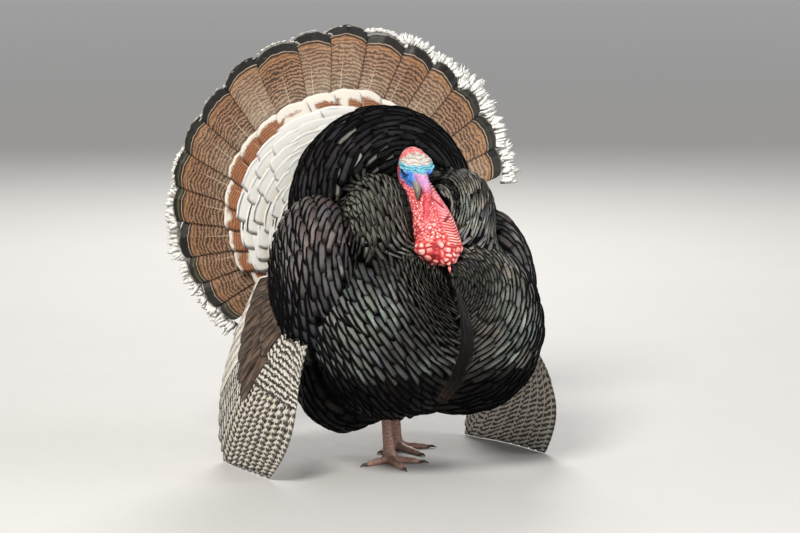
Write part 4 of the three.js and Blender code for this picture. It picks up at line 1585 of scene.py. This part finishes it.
def make_skin():
    fine, fine_faces = surface(front_distance, (-60, -210, 340), (60, -5, 570), 1.1)
    normal, relief, q = outward(fine, fine_faces), skin_relief(fine), from_head(fine)
    eye_free = np.ones(len(fine))
    for side in sides:
        away = np.linalg.norm(q - np.array(eye_centres[side]), axis=1)
        eye_free *= smooth(eye_radius + 1.8, eye_radius + 5, away)
    fine = fine + normal * (relief * eye_free)[:, None]
    trunk, trunk_faces = surface(under_coat, (-245, -240, 50), (235, 285, 625), 9.0, 2)
    pieces = [plain_mesh(fine, fine_faces)]
    for side in sides:
        foot = np.array(legs[side]["foot"])
        field = leg_distance(side)
        top = 130 if side == "right" else 135
        low, high = foot + (-75, -95, -6), foot + (75, 50, top)
        leg_points, leg_faces = surface(
            lambda p: np.maximum(field(p), p[..., 2] - (top - 12)), low, high, 1.5
        )
        pieces.append(plain_mesh(leg_points, leg_faces))
    body = linked("skin", plain_mesh(trunk, trunk_faces))
    others = []
    for mesh in pieces:
        other = linked("limb", mesh)
        join = body.modifiers.new("join", "BOOLEAN")
        join.operation, join.solver, join.object = "UNION", "EXACT", other
        others.append(other)
    made = bpy.data.meshes.new_from_object(body.evaluated_get(bpy.context.evaluated_depsgraph_get()))
    for gone in others + [body]:
        bpy.data.objects.remove(gone)
    places = np.empty(len(made.vertices) * 3)
    made.vertices.foreach_get("co", places)
    places = places.reshape(-1, 3)
    faces = [tuple(face.vertices) for face in made.polygons]
    bpy.data.meshes.remove(made)
    return places, faces


def skin_material(m):
    own = m.own()
    crown, white, brow, face = (m.attribute(key) for key in ("crown", "white", "brow", "face"))
    bead, snood, leg, bare, crease = (m.attribute(key) for key in ("bead", "snood", "leg", "bare", "crease"))
    mottle = m.noise(own, 160.0, 4.0, 0.6)
    grain = m.noise(own, 900.0, 3.0, 0.6)
    top = m.fade(crease, 0.35, 0.9)
    # painted shade: the skin is darkened in the creases between its beads and wrinkles
    crease_shade = m.fade(crease, 0.05, 0.45, 1.0, 0.0)
    red = m.shade(mottle, 0.3, 0.7, (0.66, 0.06, 0.08), (0.80, 0.20, 0.20))
    tops = m.shade(mottle, 0.35, 0.65, (0.93, 0.50, 0.45), (0.82, 0.20, 0.18))
    tops = m.colour(m.fade(m.noise(own, 26.0, 2.0), 0.42, 0.58), tops, (0.93, 0.64, 0.60))
    throat = m.colour(m.times(top, m.fade(mottle, 0.25, 0.6, 0.35, 0.9)), red, tops)
    beaded = m.colour(
        bead, throat,
        m.colour(m.times(top, m.fade(mottle, 0.3, 0.52)), (0.80, 0.10, 0.09), (0.95, 0.62, 0.54)),
    )
    crease_shaded = m.colour(m.times(crease_shade, 0.85), beaded, (0.26, 0.008, 0.016))
    creased = m.colour(
        m.times(m.attribute("fold"), 0.8), crease_shaded,
        m.shade(crease, 0.5, 0.9, (0.66, 0.10, 0.13), (0.80, 0.25, 0.29)),
    )
    violet = m.colour(
        m.times(crease_shade, 0.5), m.shade(mottle, 0.35, 0.7, (0.48, 0.30, 0.62), (0.74, 0.32, 0.48)),
        (0.22, 0.08, 0.28),
    )
    hung = m.colour(m.attribute("hang"), violet, m.colour(top, (0.50, 0.03, 0.05), (0.86, 0.24, 0.22)))
    blue = m.shade(mottle, 0.3, 0.7, (0.04, 0.18, 0.72), (0.14, 0.40, 0.84))
    bluish = m.colour(m.times(crease_shade, 0.6), blue, (0.01, 0.03, 0.22))
    pale_face = m.colour(m.attribute("middle"), bluish, (0.32, 0.42, 0.80))
    cyan = m.shade(mottle, 0.3, 0.7, (0.08, 0.36, 0.50), (0.20, 0.54, 0.62))
    # painted shade: dark lines in the creases of the brow
    lined = m.colour(m.times(m.fade(crease, 0.05, 0.4, 1.0, 0.0), 0.9), cyan, (0.008, 0.04, 0.10))
    cream = m.shade(mottle, 0.3, 0.7, (0.50, 0.58, 0.50), (0.62, 0.52, 0.47))
    cracked = m.colour(m.times(crease_shade, 0.8), cream, (0.26, 0.13, 0.12))
    # painted shade: the crown is darker red in the creases between its beads
    rosy = m.shade(
        crease, 0.1, 0.6, (0.52, 0.04, 0.06),
        m.shade(mottle, 0.4, 0.6, (0.78, 0.20, 0.20), (0.84, 0.46, 0.42)),
    )
    colour = m.colour(face, creased, pale_face)
    colour = m.colour(brow, colour, lined)
    colour = m.colour(white, colour, cracked)
    colour = m.colour(crown, colour, rosy)
    colour = m.colour(snood, colour, hung)
    # painted shade: the lid rims near black, for the lids' dark edge and the shadow in the eye's slit
    colour = m.colour(m.times(m.attribute("lid"), 0.92), colour, (0.012, 0.006, 0.014))
    # painted shade: the deep furrows across the throat are painted dark red
    colour = m.colour(m.attribute("furrow"), colour, (0.22, 0.008, 0.02))
    horny = m.shade(mottle, 0.35, 0.65, (0.30, 0.17, 0.13), (0.48, 0.30, 0.24))
    colour = m.colour(leg, colour, horny)
    colour = m.colour(bare, (0.016, 0.014, 0.013), colour)
    height = m.plus(m.times(mottle, 0.6), m.times(grain, 0.4))
    return {
        "Base Color": colour,
        "Roughness": m.linear(grain, 0.25, m.linear(leg, 0.1, 0.32)),
        "Normal": m.bump(height, 0.0006, 0.6),
    }




def finished_marks(p):
    """All that the skin's colours are mixed by."""
    marks, q = skin_marks(p), from_head(p)
    is_leg = smooth(122, 112, p[:, 2]) * (np.minimum(leg_distance("right")(p), leg_distance("left")(p)) < 3)
    is_front = (front_distance(p) < 4) * (trunk_distance(p) > -9)
    crease = throat_lumps(p)
    for part in ("crown", "snood"):
        crease = mix(crease, beads_on(p, part), marks[part])
    crease = mix(crease, 0.5 + 0.5 * wrinkles(q, *brow_wave), marks["brow"])
    arcs = 0.5 + 0.5 * wrinkles(q, 1.3, (1.1, 0.3), (0.8, 0.5))
    crease = mix(crease, np.minimum(beads_on(p, "white") + 0.15, arcs * 1.6), marks["white"])
    crease = mix(crease, beads_on(p, "face"), marks["face"] * (1 - marks["brow"]))
    folded, rounds, wave = throat_folds(p)
    folded = folded * (1 - marks["snood"]) * marks.pop("red")
    ridges = 0.5 + 0.5 * wave
    crease = mix(crease, mix(mix(0.55, 0.95, ridges), ridges, smooth(16, 30, rounds)), folded)
    marks.update({
        "leg": is_leg, "crease": crease, "bare": np.maximum(is_leg, is_front),
        "hang": smooth(506, 484, p[:, 2]),
        "middle": smooth(13, 5, np.abs(q[:, 0])) * smooth(12, 4, q[:, 2]),
        "fold": folded * smooth(30, 18, rounds),
        "furrow": smooth(4.0, 2.0, furrow_distance(p)) * (1 - marks["snood"]),
    })
    return marks


finish["skin"] = material(
    "bare head, throat and leg skin", skin_material,
    Subsurface_Weight=0.08, Subsurface_Scale=0.003, Specular_IOR_Level=0.4,
)
skin_points, skin_faces = make_skin()
marks = finished_marks(skin_points)
skin = mesh_piece("skin", skin_points, skin_faces, finish["skin"], floats=marks)
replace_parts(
    skin, "head", "neck", "caruncles", "snood", "ruff", "mantle", "breast", "rump", "belly",
    "wing_right_shoulder", "wing_left_shoulder", "leg_right", "leg_left", "foot_right", "foot_left",
)
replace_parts(bpy.data.objects["tail_feathers"], "tail_fan")
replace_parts(bpy.data.objects["tail_covert_feathers"], "tail_coverts")
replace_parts(bpy.data.objects["under_tail_feathers"], "tail_under_coverts")
for side in sides:
    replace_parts(bpy.data.objects[f"primaries_{side}"], f"wing_{side}_primaries")
    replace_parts(bpy.data.objects[f"secondaries_{side}"], f"wing_{side}_secondaries")

# ---------------------------------------------------------------- eyes, bill, claws and spurs


def tube_faces(rings, around):
    """Faces of a tube of rings, closed by two points that follow the last ring."""
    faces, last, tip = [], (rings - 1) * around, rings * around
    for j in range(around):
        k = (j + 1) % around
        for i in range(rings - 1):
            faces.append((i * around + j, (i + 1) * around + j, (i + 1) * around + k, i * around + k))
        faces.append((tip, j, k))
        faces.append((tip + 1, last + k, last + j))
    return faces


def loft(line, radii, around=10):
    """A closed round tube along a line."""
    line, radii = np.asarray(line, float), np.asarray(radii, float)
    ahead = unit(np.gradient(line, axis=0))
    side = unit(np.cross(ahead, [0.03, 0.02, 1.0]))
    top = np.cross(side, ahead)
    turn = np.arange(around) / around * 2 * np.pi
    ring = np.cos(turn)[None, :, None] * side[:, None] + np.sin(turn)[None, :, None] * top[:, None]
    points = np.vstack([(line[:, None] + ring * radii[:, None, None]).reshape(-1, 3), line[:1], line[-1:]])
    along = np.append(np.repeat(np.linspace(0, 1, len(line)), around), [0, 1])
    return points, tube_faces(len(line), around), along


def ball(centre, radius, axis, around=32, bands=20):
    """A closed ball whose rings run round an axis, with the angle from that axis in degrees."""
    axis = unit(np.asarray(axis, float))
    east = unit(np.cross(axis, [0.1, 0.2, 1.0]))
    north = np.cross(axis, east)
    polar = np.linspace(0, np.pi, bands + 1)[1:-1]
    turn = np.arange(around) / around * 2 * np.pi
    ring = np.cos(turn)[:, None] * east + np.sin(turn)[:, None] * north
    points = np.sin(polar)[:, None, None] * ring + np.cos(polar)[:, None, None] * axis
    points = np.vstack([points.reshape(-1, 3), axis[None], -axis[None]]) * radius + centre
    return points, tube_faces(bands - 1, around), np.append(np.repeat(np.degrees(polar), around), [0, 180])


def joined(parts):
    start, points, faces, marks = 0, [], [], []
    for place, corners, mark in parts:
        points.append(place)
        marks.append(mark)
        faces += [tuple(c + start for c in face) for face in corners]
        start += len(place)
    return np.vstack(points), faces, np.concatenate(marks)


def eye_finish(m):
    angle = m.attribute("angle")
    streak = m.noise(m.own(), 2600.0, 2.0)
    iris = m.shade(streak, 0.3, 0.7, (0.045, 0.018, 0.008), (0.16, 0.070, 0.028))
    ringed = m.shade(angle, 44.0, 52.0, iris, (0.02, 0.010, 0.007))
    rimmed = m.shade(angle, 56.0, 62.0, ringed, (0.20, 0.08, 0.06))
    return {
        "Base Color": m.colour(m.fade(angle, 23.0, 25.0, 1.0, 0.0), rimmed, (0.002, 0.002, 0.002)),
        "Roughness": m.fade(streak, 0.2, 0.8, 0.04, 0.08),
    }


def horn_finish(m):
    own, along, dark = m.own(), m.attribute("along"), m.attribute("dark")
    grain = m.noise(own, 700.0, 4.0, 0.6)
    growth = m.math("SINE", m.times(m.plus(along, m.times(grain, 0.05)), 90.0))
    pale = m.shade(grain, 0.3, 0.7, (0.34, 0.31, 0.22), (0.22, 0.20, 0.15))
    brown = m.shade(grain, 0.3, 0.7, (0.10, 0.065, 0.045), (0.045, 0.032, 0.026))
    base = m.colour(dark, pale, brown)
    tipped = m.colour(m.fade(along, 0.45, 1.0, 0.0, 0.75), base, (0.035, 0.030, 0.024))
    height = m.plus(m.times(growth, 0.4), grain)
    return {
        "Base Color": tipped, "Roughness": m.linear(grain, 0.25, 0.22), "Normal": m.bump(height, 0.0002, 0.5)
    }


finish["eye"] = material(
    "brown eyes", eye_finish, Specular_IOR_Level=0.8, Coat_Weight=1.0, Coat_Roughness=0.03
)
finish["horn"] = material("horn of bill, claws and spurs", horn_finish)

for side in sides:
    gaze = head_turn @ eye_gaze[side]
    points, faces, angle = ball(in_head(eye_centres[side]), eye_radius - 0.35, gaze)
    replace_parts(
        mesh_piece(f"eyeball_{side}", points, faces, finish["eye"], floats={"angle": angle}), f"eye_{side}"
    )

bill_parts = {
    "upper": (
        [(-3, -34, -7), (-4, -46, -8.5), (-5.5, -58, -13), (-6.5, -66, -20), (-7, -69, -27)],
        [9.0, 7.4, 5.6, 3.8, 1.5],
    ),
    "lower": ([(-3, -34, -16), (-4, -46, -17.5), (-5.5, -56, -21), (-6.5, -62, -25.5)], [6.5, 5.4, 4.0, 1.6]),
}


def bill_distance(part):
    path, radii = bill_parts[part]
    t = np.linspace(0, 1, 22)
    line, thick = spline(in_head(path), t), knots(radii, t)

    def distance(p):
        d = line_distance(p, line, thick)
        q = from_head(p)
        if part == "upper":
            for x in (-10.2, 1.6):
                d = np.maximum(d, -ellipsoid_distance(q, ((x, -47, -6.5), (2.2, 3.6, 1.5))))
        return d

    return distance, line


for part in ("upper", "lower"):
    own_distance, line = bill_distance(part)
    other = bill_distance("upper")[0]
    field = own_distance if part == "upper" else lambda p: np.maximum(own_distance(p), 0.5 - other(p))
    points, faces = surface(field, line.min(0) - 12, line.max(0) + 12, 0.7)
    points = settle(points, field)
    along = np.clip((from_head(points)[:, 1] + 34) / -36, 0, 1)
    floats = {"along": along, "dark": np.full(len(points), 0.0 if part == "upper" else 0.45)}
    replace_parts(mesh_piece(f"{part}_bill", points, faces, finish["horn"], floats=floats), f"bill_{part}")

nails, spurs = [], []
for side in sides:
    ankle, shank, lines = foot_lines(side)
    for name, ahead, line in lines:
        reach = claw_length * (0.8 if name == "hind" else 1.0)
        start = line[-1] + ahead * 1.2
        arch, tip = start + ahead * reach * 0.5 + (0, 0, 1.0), (start + ahead * reach) * (1, 1, 0) + (0, 0, 1.0)
        stops, t = [start - ahead * 3, start, arch, tip], np.linspace(0, 1, 13)
        points, faces, along = loft(spline(stops, t), knots([3.0, 3.3, 2.5, 0.4], t))
        points[:, 2] = np.maximum(points[:, 2], 0.3)
        nails.append((points, faces, along))
    hock = np.array(legs[side]["hock"], float)
    start = mix(ankle, hock, 0.2) + (6.5 * -side_sign[side], 8.5, 0)
    stops = [start - (0, 4, 1), start + (0, 3, 0.2), start + (0, 9, 1), start + (0, 17, 6)]
    spurs.append(
        loft(spline(stops, np.linspace(0, 1, 12)), knots([5.2, 4.8, 3.4, 0.6], np.linspace(0, 1, 12)))
    )
for name, parts in (("claws", nails), ("spurs", spurs)):
    points, faces, along = joined(parts)
    piece = mesh_piece(
        name, points, faces, finish["horn"], floats={"along": along, "dark": np.ones(len(points))}
    )
    claw_nodes = [f"claw_{side}_{toe[0]}" for side in sides for toe in toes]
    nodes = claw_nodes if name == "claws" else ["spur_right", "spur_left"]
    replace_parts(piece, *nodes)

# ---------------------------------------------------------------- bristles and scutes, grown along lines

G, I, M = "NodeSocketGeometry", "NodeSocketInt", "NodeSocketMaterial"


def beard_tree(m, given):
    """Long bristles side by side along the guide, each a little apart and a little shorter or longer."""
    guide = m.made("GeometryNodeMeshToCurve", {"Mesh": given["Guide"]})
    dots = m.made("GeometryNodeMeshLine", {"Count": given["Bristles"], "Offset": (0.0, 0.0, 0.001)})
    chance = m.made(
        "FunctionNodeRandomValue", {"Min": (-1.0, -1.0, 0.72), "Max": (1.0, 1.0, 1.0), "Seed": given["Seed"]},
        data_type="FLOAT_VECTOR",
    )
    dots = m.made(
        "GeometryNodeStoreNamedAttribute", {"Geometry": dots, "Name": "chance", "Value": chance},
        data_type="FLOAT_VECTOR", domain="POINT",
    )
    straight = m.made(
        "GeometryNodeResampleCurve", {"Curve": m.made("GeometryNodeCurvePrimitiveLine"), "Count": 11}
    )
    bristles = m.made("GeometryNodeInstanceOnPoints", {"Points": dots, "Instance": straight})
    bristles = m.made("GeometryNodeRealizeInstances", {"Geometry": bristles})
    share = m.made("GeometryNodeSplineParameter")
    split = m.add(
        "ShaderNodeSeparateXYZ",
        {0: m.made("GeometryNodeInputNamedAttribute", {"Name": "chance"}, data_type="FLOAT_VECTOR")},
    ).outputs
    down = m.times(share, split[2])
    sample = m.add("GeometryNodeSampleCurve", {"Curves": guide, "Factor": down}, mode="FACTOR")
    tangent, spot = sample.outputs["Tangent"], sample.outputs["Position"]
    outward_way = m.moved("CROSS_PRODUCT", tangent, (1.0, 0.0, 0.0))
    swell = m.fade(down, 0.0, 0.45, 0.4, 1.0)
    wide = m.times(m.times(split[0], given["Half Width"]), swell)
    deep = m.times(m.times(split[1], given["Half Depth"]), swell)
    aside = m.vector(wide, 0.0, 0.0)
    forward = m.scaled(outward_way, deep)
    seat = m.vector(m.times(split[0], 40.0), m.times(split[1], 40.0), m.times(down, 3.0))
    stir = m.add("ShaderNodeTexNoise", {"Vector": seat, "Scale": 1.0, "Detail": 1.0}).outputs["Color"]
    stir = m.moved("ADD", stir, (-0.5, -0.5, -0.5))
    stir = m.scaled(stir, m.times(down, given["Stray"]))
    for part in (aside, forward, stir):
        spot = m.moved("ADD", spot, part)
    bristles = m.made(
        "GeometryNodeStoreNamedAttribute", {"Geometry": bristles, "Name": "down", "Value": down},
        data_type="FLOAT", domain="POINT",
    )
    bristles = m.made("GeometryNodeSetPosition", {"Geometry": bristles, "Position": spot})
    ring = m.made("GeometryNodeCurvePrimitiveCircle", {"Resolution": 4, "Radius": given["Thickness"]})
    taper = m.fade(share, 0.3, 1.0, 1.0, 0.25)
    mesh = m.made(
        "GeometryNodeCurveToMesh",
        {"Curve": bristles, "Profile Curve": ring, "Scale": taper, "Fill Caps": True},
    )
    mesh = m.made("GeometryNodeRealizeInstances", {"Geometry": mesh})
    return {"Mesh": m.made("GeometryNodeSetMaterial", {"Geometry": mesh, "Material": given["Material"]})}


def scute_tree(m, given):
    """Overlapping rounded plates along the guides, as wide as the limb is thick there."""
    guide = m.made("GeometryNodeMeshToCurve", {"Mesh": given["Guide"]})
    stops = m.made("GeometryNodeResampleCurve", {"Curve": guide, "Length": given["Pitch"]}, mode="LENGTH")
    dots = m.add("GeometryNodeCurveToPoints", {"Curve": stops}, mode="EVALUATED")
    lie = m.made("FunctionNodeAlignRotationToVector", {"Vector": dots.outputs["Tangent"]}, axis="Z")
    plate = m.made("GeometryNodeMeshUVSphere", {"Segments": 10, "Rings": 5, "Radius": 1.0})
    thick = m.made("GeometryNodeInputNamedAttribute", {"Name": "thick"}, data_type="FLOAT")
    flat = m.vector(thick, thick, m.times(given["Pitch"], 0.78))
    plates = m.made(
        "GeometryNodeInstanceOnPoints",
        {"Points": dots.outputs["Points"], "Instance": plate, "Rotation": lie, "Scale": flat},
    )
    plates = m.made("GeometryNodeRealizeInstances", {"Geometry": plates})
    place = m.split(m.made("GeometryNodeInputPosition"))
    kept = m.vector(place[0], place[1], m.math("MAXIMUM", place[2], given["Floor"]))
    plates = m.made("GeometryNodeSetPosition", {"Geometry": plates, "Position": kept})
    return {"Mesh": m.made("GeometryNodeSetMaterial", {"Geometry": plates, "Material": given["Material"]})}


def grown(name, lines, tree, values, thick=None):
    """Runs a tree over guide lines and keeps what it makes as a plain mesh."""
    guide = bpy.data.meshes.new(name)
    points, edges = [], []
    for line in lines:
        edges += [(len(points) + i, len(points) + i + 1) for i in range(len(line) - 1)]
        points += in_frame(line)
    guide.from_pydata(points, edges, [])
    if thick is not None:
        guide.attributes.new("thick", "FLOAT", "POINT").data.foreach_set(
            "value", np.asarray(thick, np.float32) * MM
        )
    source = linked(name, guide)
    growth = source.modifiers.new("growth", "NODES")
    growth.node_group = tree
    for item in tree.interface.items_tree:
        if item.in_out == "INPUT" and item.name in values:
            growth[item.identifier] = values[item.name]
    mesh = bpy.data.meshes.new_from_object(source.evaluated_get(bpy.context.evaluated_depsgraph_get()))
    bpy.data.objects.remove(source)
    return dressed(name, mesh)


def bristle_finish(m):
    down, grain = m.attribute("down"), m.noise(m.own(), 420.0, 3.0)
    black = m.shade(grain, 0.3, 0.7, (0.003, 0.0028, 0.003), (0.012, 0.010, 0.009))
    return {
        "Base Color": m.colour(m.fade(down, 0.7, 1.0, 0.0, 0.6), black, (0.05, 0.032, 0.022)),
        "Roughness": m.linear(grain, 0.2, 0.36),
    }


def scute_finish(m):
    own = m.own()
    mottle, grain = m.noise(own, 220.0, 4.0, 0.6), m.noise(own, 1300.0, 3.0)
    pink = m.shade(mottle, 0.3, 0.7, (0.26, 0.12, 0.085), (0.44, 0.25, 0.19))
    return {
        "Base Color": m.colour(m.fade(grain, 0.55, 0.75, 0.0, 0.6), pink, (0.14, 0.07, 0.05)),
        "Roughness": m.linear(grain, 0.25, 0.34), "Normal": m.bump(m.plus(mottle, grain), 0.0003, 0.5),
    }


finish["bristle"] = material("black beard bristles", bristle_finish, Specular_IOR_Level=0.2)
finish["scute"] = material("scutes of the legs", scute_finish)
bristle_group = shared(
    "beard of bristles",
    [
        ("Guide", G, None), ("Bristles", I, 200), ("Half Width", F, 0.012), ("Half Depth", F, 0.007),
        ("Thickness", F, 0.0007), ("Stray", F, 0.02), ("Seed", I, 3), ("Material", M, None),
    ],
    [("Mesh", G)], beard_tree, "GeometryNodeTree",
)
scute_group = shared(
    "row of scutes", [
        ("Guide", G, None), ("Pitch", F, 0.006), ("Floor", F, 0.0004), ("Material", M, None)
    ], [("Mesh", G)], scute_tree, "GeometryNodeTree",
)
beard_values = {
    "Bristles": 260, "Half Width": 0.009, "Half Depth": 0.007, "Thickness": 0.0007, "Stray": 0.034, "Seed": 5,
    "Material": finish["bristle"],
}
beard_guide = spline(beard_line, np.linspace(0, 1, 40))
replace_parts(grown("beard_bristles", [beard_guide], bristle_group, beard_values), "beard")

guides, thicknesses = [], []
for side in sides:
    ankle, shank, lines = foot_lines(side)
    upper = shank[shank[:, 2] < 118]
    guides.append(upper + (0, -1.1, 0))
    thicknesses += list(shank_girth[-len(upper):] - 0.4)
    for _, _, line in lines:
        guides.append(line[2:] + (0, 0, 0.7))
        thicknesses += list(toe_girth[2:] - 0.9)
scute_values = {"Pitch": 0.0062, "Floor": 0.0004, "Material": finish["scute"]}
grown("leg_scutes", guides, scute_group, scute_values, thicknesses)

# ---------------------------------------------------------------- floor, light and camera


def floor_finish(m):
    # painted light: the floor is painted paler with distance, so that the far floor, which the lamps hardly
    # reach, meets the sky without a darker band
    far = m.fade(m.add("ShaderNodeVectorMath", {0: m.own()}, operation="LENGTH").outputs["Value"], 1.5, 16.0)
    near = m.colour(m.noise(m.own(), 3.0), (0.50, 0.49, 0.475), (0.53, 0.52, 0.505))
    return {
        "Base Color": m.colour(far, near, (0.93, 0.93, 0.93)),
        "Roughness": m.fade(m.noise(m.own(), 40.0), 0.2, 0.8, 0.7, 0.8),
    }


def make_stage():
    mesh = bpy.data.meshes.new("studio_floor")
    wide = 90.0
    mesh.from_pydata(
        [(-wide, -wide, 0), (wide, -wide, 0), (wide, wide, 0), (-wide, wide, 0)], [], [(0, 1, 2, 3)]
    )
    mesh.materials.append(material("pale studio floor", floor_finish))
    ground = linked("studio_floor", mesh)


def soft_light(name, place, aim, size, power, colour):
    data = bpy.data.lights.new(name, "AREA")
    data.shape, data.size, data.energy, data.color = "DISK", size, power, colour
    lamp = linked(name, data)
    lamp.location = place
    way = Vector(aim) - Vector(place)
    lamp.rotation_euler = way.to_track_quat("-Z", "Y").to_euler()


make_stage()
soft_light("key light", (-2.6, -2.6, 3.6), (0, 0, 0.35), 1.6, 260, (1.0, 0.97, 0.92))
soft_light("fill light", (3.4, -2.6, 1.6), (0, 0, 0.35), 3.0, 95, (0.94, 0.97, 1.0))
soft_light("front light", (-1.5, -4.8, 1.0), (0, 0, 0.45), 2.2, 34, (1.0, 0.98, 0.95))
soft_light("rim light", (1.4, 3.2, 2.6), (0, 0, 0.45), 1.8, 110, (1.0, 0.98, 0.95))
world = bpy.data.worlds.new("studio")
world.use_nodes = True
world.node_tree.nodes["Background"].inputs["Color"].default_value = (0.86, 0.86, 0.87, 1)
world.node_tree.nodes["Background"].inputs["Strength"].default_value = 0.46
bpy.context.scene.world = world
bpy.context.scene.view_settings.view_transform = "Standard"

view_azimuth, view_height, view_distance = np.radians(-26.0), np.radians(8.0), 7.0
level = np.cos(view_height)
back = Vector((np.sin(view_azimuth) * level, -np.cos(view_azimuth) * level, np.sin(view_height)))
target = Vector(((bird_middle + (0, 0, 347)) * MM).tolist())
lens = bpy.data.cameras.new("camera")
lens.lens, lens.sensor_width = 180.0, 36.0
lens.clip_end = 400.0
camera = linked("camera", lens)
camera.location = target + back * view_distance
camera.rotation_euler = (-back).to_track_quat("-Z", "Y").to_euler()
bpy.context.scene.camera = camera
